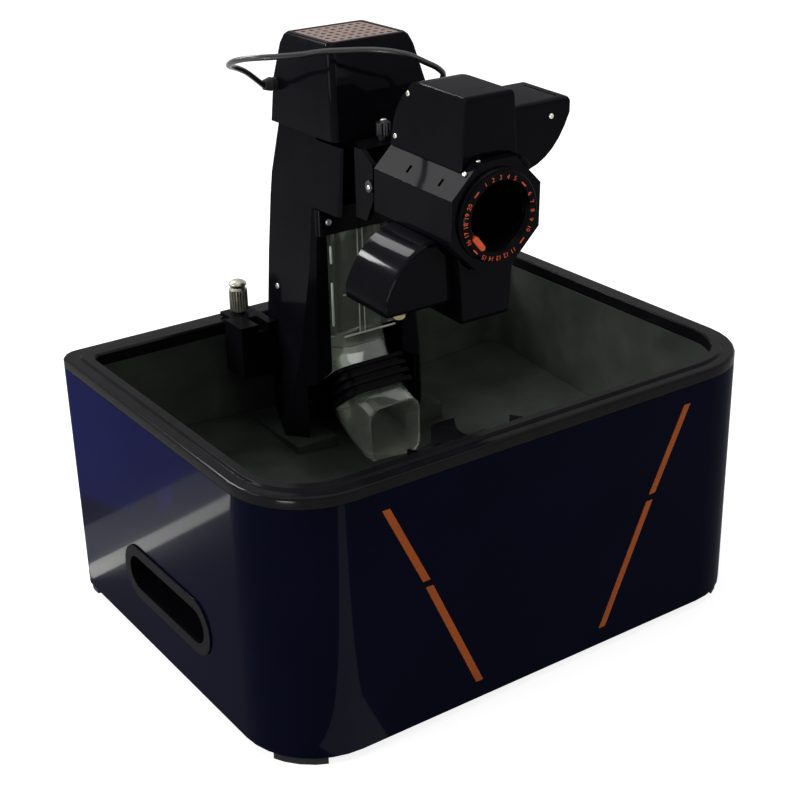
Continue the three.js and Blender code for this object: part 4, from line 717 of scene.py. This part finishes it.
# The thumb screw's rounded end: shares of its radius outwards and upwards, and how it fits on the screw
DOME_PROFILE = [(1.0, 0.0), (0.97, 0.12), (0.88, 0.26), (0.7, 0.4), (0.45, 0.5), (0.2, 0.54)]
DOME_SIDES = 36
DOME_SINK = 0.3 * MM
DOME_SHARE = 0.98


def make_screw_dome():
    """The rounded end of the thumb screw."""
    screw = NODES["thumb_screw"]
    corners = [screw.matrix_world @ Vector(c) for c in screw.bound_box]
    lows = [min(c[axis] for c in corners) for axis in range(3)]
    highs = [max(c[axis] for c in corners) for axis in range(3)]
    centre = Vector(((lows[0] + highs[0]) / 2, (lows[1] + highs[1]) / 2, highs[2] - DOME_SINK))
    reach = (highs[0] - lows[0]) / 2 * DOME_SHARE
    shape = bmesh.new()
    rings = turned_rings(shape, [(reach * out, reach * rise) for out, rise in DOME_PROFILE], DOME_SIDES)
    join_rings(shape, rings)
    shape.faces.new(rings[-1]).smooth = True
    shape.faces.new(list(reversed(rings[0])))
    mesh = made_mesh("thumb_screw_dome", shape)
    mesh.transform(Matrix.Translation(centre))
    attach(add_object("thumb_screw_dome", mesh, "nickel", "warm_nickel"), BODY_OF["thumb_screw"])


# The floor: its tones, and the glow that lifts it to white, stronger far from the object than near it
FLOOR_SIZE = 24
FLOOR_CLOUD = 0.4
FLOOR_TONES = ((0.44, 0.44, 0.445), (0.47, 0.47, 0.475))
FLOOR_GLOW = 0.83
FAR_GLOW = 1.0
GLOW_RISES = (0.5, 2.5)


def seen_factor(tree):
    """1 for the rays that show the background: from the camera, off gloss, and through glass."""
    path = tree.nodes.new("ShaderNodeLightPath")
    either = path.outputs["Is Camera Ray"]
    for key in ("Is Glossy Ray", "Is Transmission Ray"):
        larger = tree.nodes.new("ShaderNodeMath")
        larger.operation = "MAXIMUM"
        tree.links.new(either, larger.inputs[0])
        tree.links.new(path.outputs[key], larger.inputs[1])
        either = larger.outputs["Value"]
    return either


def make_floor():
    """A plain pale floor that shows white and keeps the object's soft shadow."""
    bpy.ops.mesh.primitive_plane_add(size=FLOOR_SIZE, location=(0, 0, 0))
    floor = bpy.context.object
    floor.name = "floor"
    graph = Graph("floor")
    graph.feed(graph.ramp(graph.noise(FLOOR_CLOUD, 2), *FLOOR_TONES), "Base Color")
    graph.set(Roughness=0.95, Specular_IOR_Level=0.0)
    glow = graph.node("ShaderNodeEmission")
    graph.link(seen_factor(graph.tree), glow.inputs["Strength"])
    away = graph.node("ShaderNodeVectorMath", operation="LENGTH")
    graph.link(graph.place, away.inputs[0])
    share = graph.node("ShaderNodeMapRange")
    share.inputs["From Min"].default_value, share.inputs["From Max"].default_value = GLOW_RISES
    graph.link(away.outputs["Value"], share.inputs["Value"])
    tone = graph.ramp(share.outputs["Result"], FLOOR_GLOW, FAR_GLOW, start=0.0, end=1.0)
    graph.link(tone, glow.inputs["Color"])
    both = graph.node("ShaderNodeAddShader")
    graph.link(graph.shader.outputs["BSDF"], both.inputs[0])
    graph.link(glow.outputs["Emission"], both.inputs[1])
    graph.link(both.outputs["Shader"], graph.tree.nodes["Material Output"].inputs["Surface"])
    floor.data.materials.append(graph.material)


# Light. A lamp lights everything; a card shows in gloss only, in all nodes or in the named ones
CARD_HEIGHT = 0.001
ROOM_TONE = (0.22, 0.22, 0.235, 1)
WHITE = (1, 1, 1, 1)


def area_light(name, place, target, size, radiance, colour=(1, 1, 1), card=False):
    """A rectangular lamp or card of the given brightness."""
    data = bpy.data.lights.new(name, "AREA")
    data.shape = "RECTANGLE"
    data.size, data.size_y = size
    data.energy = radiance * math.pi * size[0] * size[1]
    data.color = colour
    light = bpy.data.objects.new(name, data)
    light.location = place
    light.rotation_euler = (Vector(target) - Vector(place)).to_track_quat("-Z", "Y").to_euler()
    light.visible_camera = False
    light.visible_diffuse = not card
    light.visible_transmission = not card
    bpy.context.scene.collection.objects.link(light)
    return light


def show_only(light, nodes):
    """Lets a card show in the named nodes only."""
    group = bpy.data.collections.new(light.name + "_shows_in")
    for node in nodes:
        group.objects.link(NODES[node])
    light.light_linking.receiver_collection = group


def floor_strip(name, start, end, width, radiance, colour=(1, 1, 1), only=()):
    """A card that lies on the floor from start to end and shows as a band in glossy sides."""
    a = Vector((*start, CARD_HEIGHT))
    b = Vector((*end, CARD_HEIGHT))
    middle = (a + b) / 2
    above = middle + Vector((0, 0, 1))
    light = area_light(name, middle, above, ((b - a).length, width), radiance, colour, card=True)
    turn = Matrix.Rotation(math.atan2(b.y - a.y, b.x - a.x), 3, "Z") @ Matrix.Rotation(math.pi, 3, "X")
    light.rotation_euler = turn.to_euler()
    if only:
        show_only(light, only)


def make_room():
    """A room that is pale where it is seen, and dimmer where it only lights."""
    world = bpy.data.worlds.new("room")
    bpy.context.scene.world = world
    world.use_nodes = True
    tree = world.node_tree
    background = tree.nodes["Background"]
    mix = tree.nodes.new("ShaderNodeMix")
    mix.data_type = "RGBA"
    mix.inputs["A"].default_value = ROOM_TONE
    mix.inputs["B"].default_value = WHITE
    tree.links.new(seen_factor(tree), mix.inputs["Factor"])
    tree.links.new(mix.outputs["Result"], background.inputs["Color"])
    background.inputs["Strength"].default_value = 1.0


def make_light():
    """Lamps behind, above, at the left, in front and in the hopper, and the cards for the gloss."""
    make_room()
    area_light("lamp_rear", place=(-0.245, 1.4, 1.58), target=(-0.05, -0.05, 0.3), size=(0.4, 0.45),
               radiance=45)
    area_light("card_line", place=(-0.9, 1.39, 1.17), target=(-0.06, -0.06, 0.28), size=(0.14, 0.14),
               radiance=170, card=True)
    area_light("lamp_above", place=(0.1, -0.1, 2.3), target=(0, 0, 0.2), size=(1.9, 1.9), radiance=1.3)
    area_light("lamp_left", place=(-1.7, 0.35, 0.85), target=(-0.1, 0, 0.12), size=(0.9, 0.9),
               radiance=6.5)
    area_light("lamp_front", place=(0.7, -1.8, 1.2), target=(0, 0, 0.2), size=(0.8, 0.8), radiance=3)
    # Stands for the light that the pale balls throw back in the photo
    bounce = area_light("lamp_bounce", place=(0.02, -0.02, 0.1), target=(0.02, -0.02, 1),
                        size=(0.34, 0.24), radiance=3.0, colour=(1, 1, 0.92))
    bounce.visible_glossy = False
    bounce.visible_transmission = False
    facet = area_light("card_facet", place=(-0.66, 1.15, 1.2), target=(0, -0.05, 0.34),
                       size=(0.45, 0.45), radiance=14, card=True)
    show_only(facet, ("barrel", "upper_motor_cover", "top_housing"))
    skin = ("outer_skin",)
    floor_strip("card_band", start=(-0.205, 0.162), end=(-1.2, 0.395), width=0.02, radiance=30,
                colour=(1, 1, 0.93), only=skin)
    floor_strip("card_band_soft", start=(-0.21, 0.195), end=(-1.2, 0.44), width=0.06, radiance=4,
                colour=(0.9, 0.93, 1), only=skin)
    floor_strip("card_blue", start=(-0.22, 0.38), end=(-1.2, 0.75), width=0.36, radiance=5,
                colour=(0.04, 0.06, 1.0), only=skin)
    floor_strip("card_edges", start=(-0.75, -0.5), end=(-1.4, -0.93), width=0.3, radiance=40)
    floor_strip("card_streak", start=(-0.155, -0.153), end=(-0.015, -0.75), width=0.06, radiance=4,
                colour=(0.95, 1, 0.95), only=skin)


make_camera()
make_lead()
dress_nodes()
make_screws()
make_ring_print()
make_barrel_lug()
make_tube_lines()
make_screw_dome()
make_floor()
make_light()
bpy.context.scene.view_settings.view_transform = "Standard"
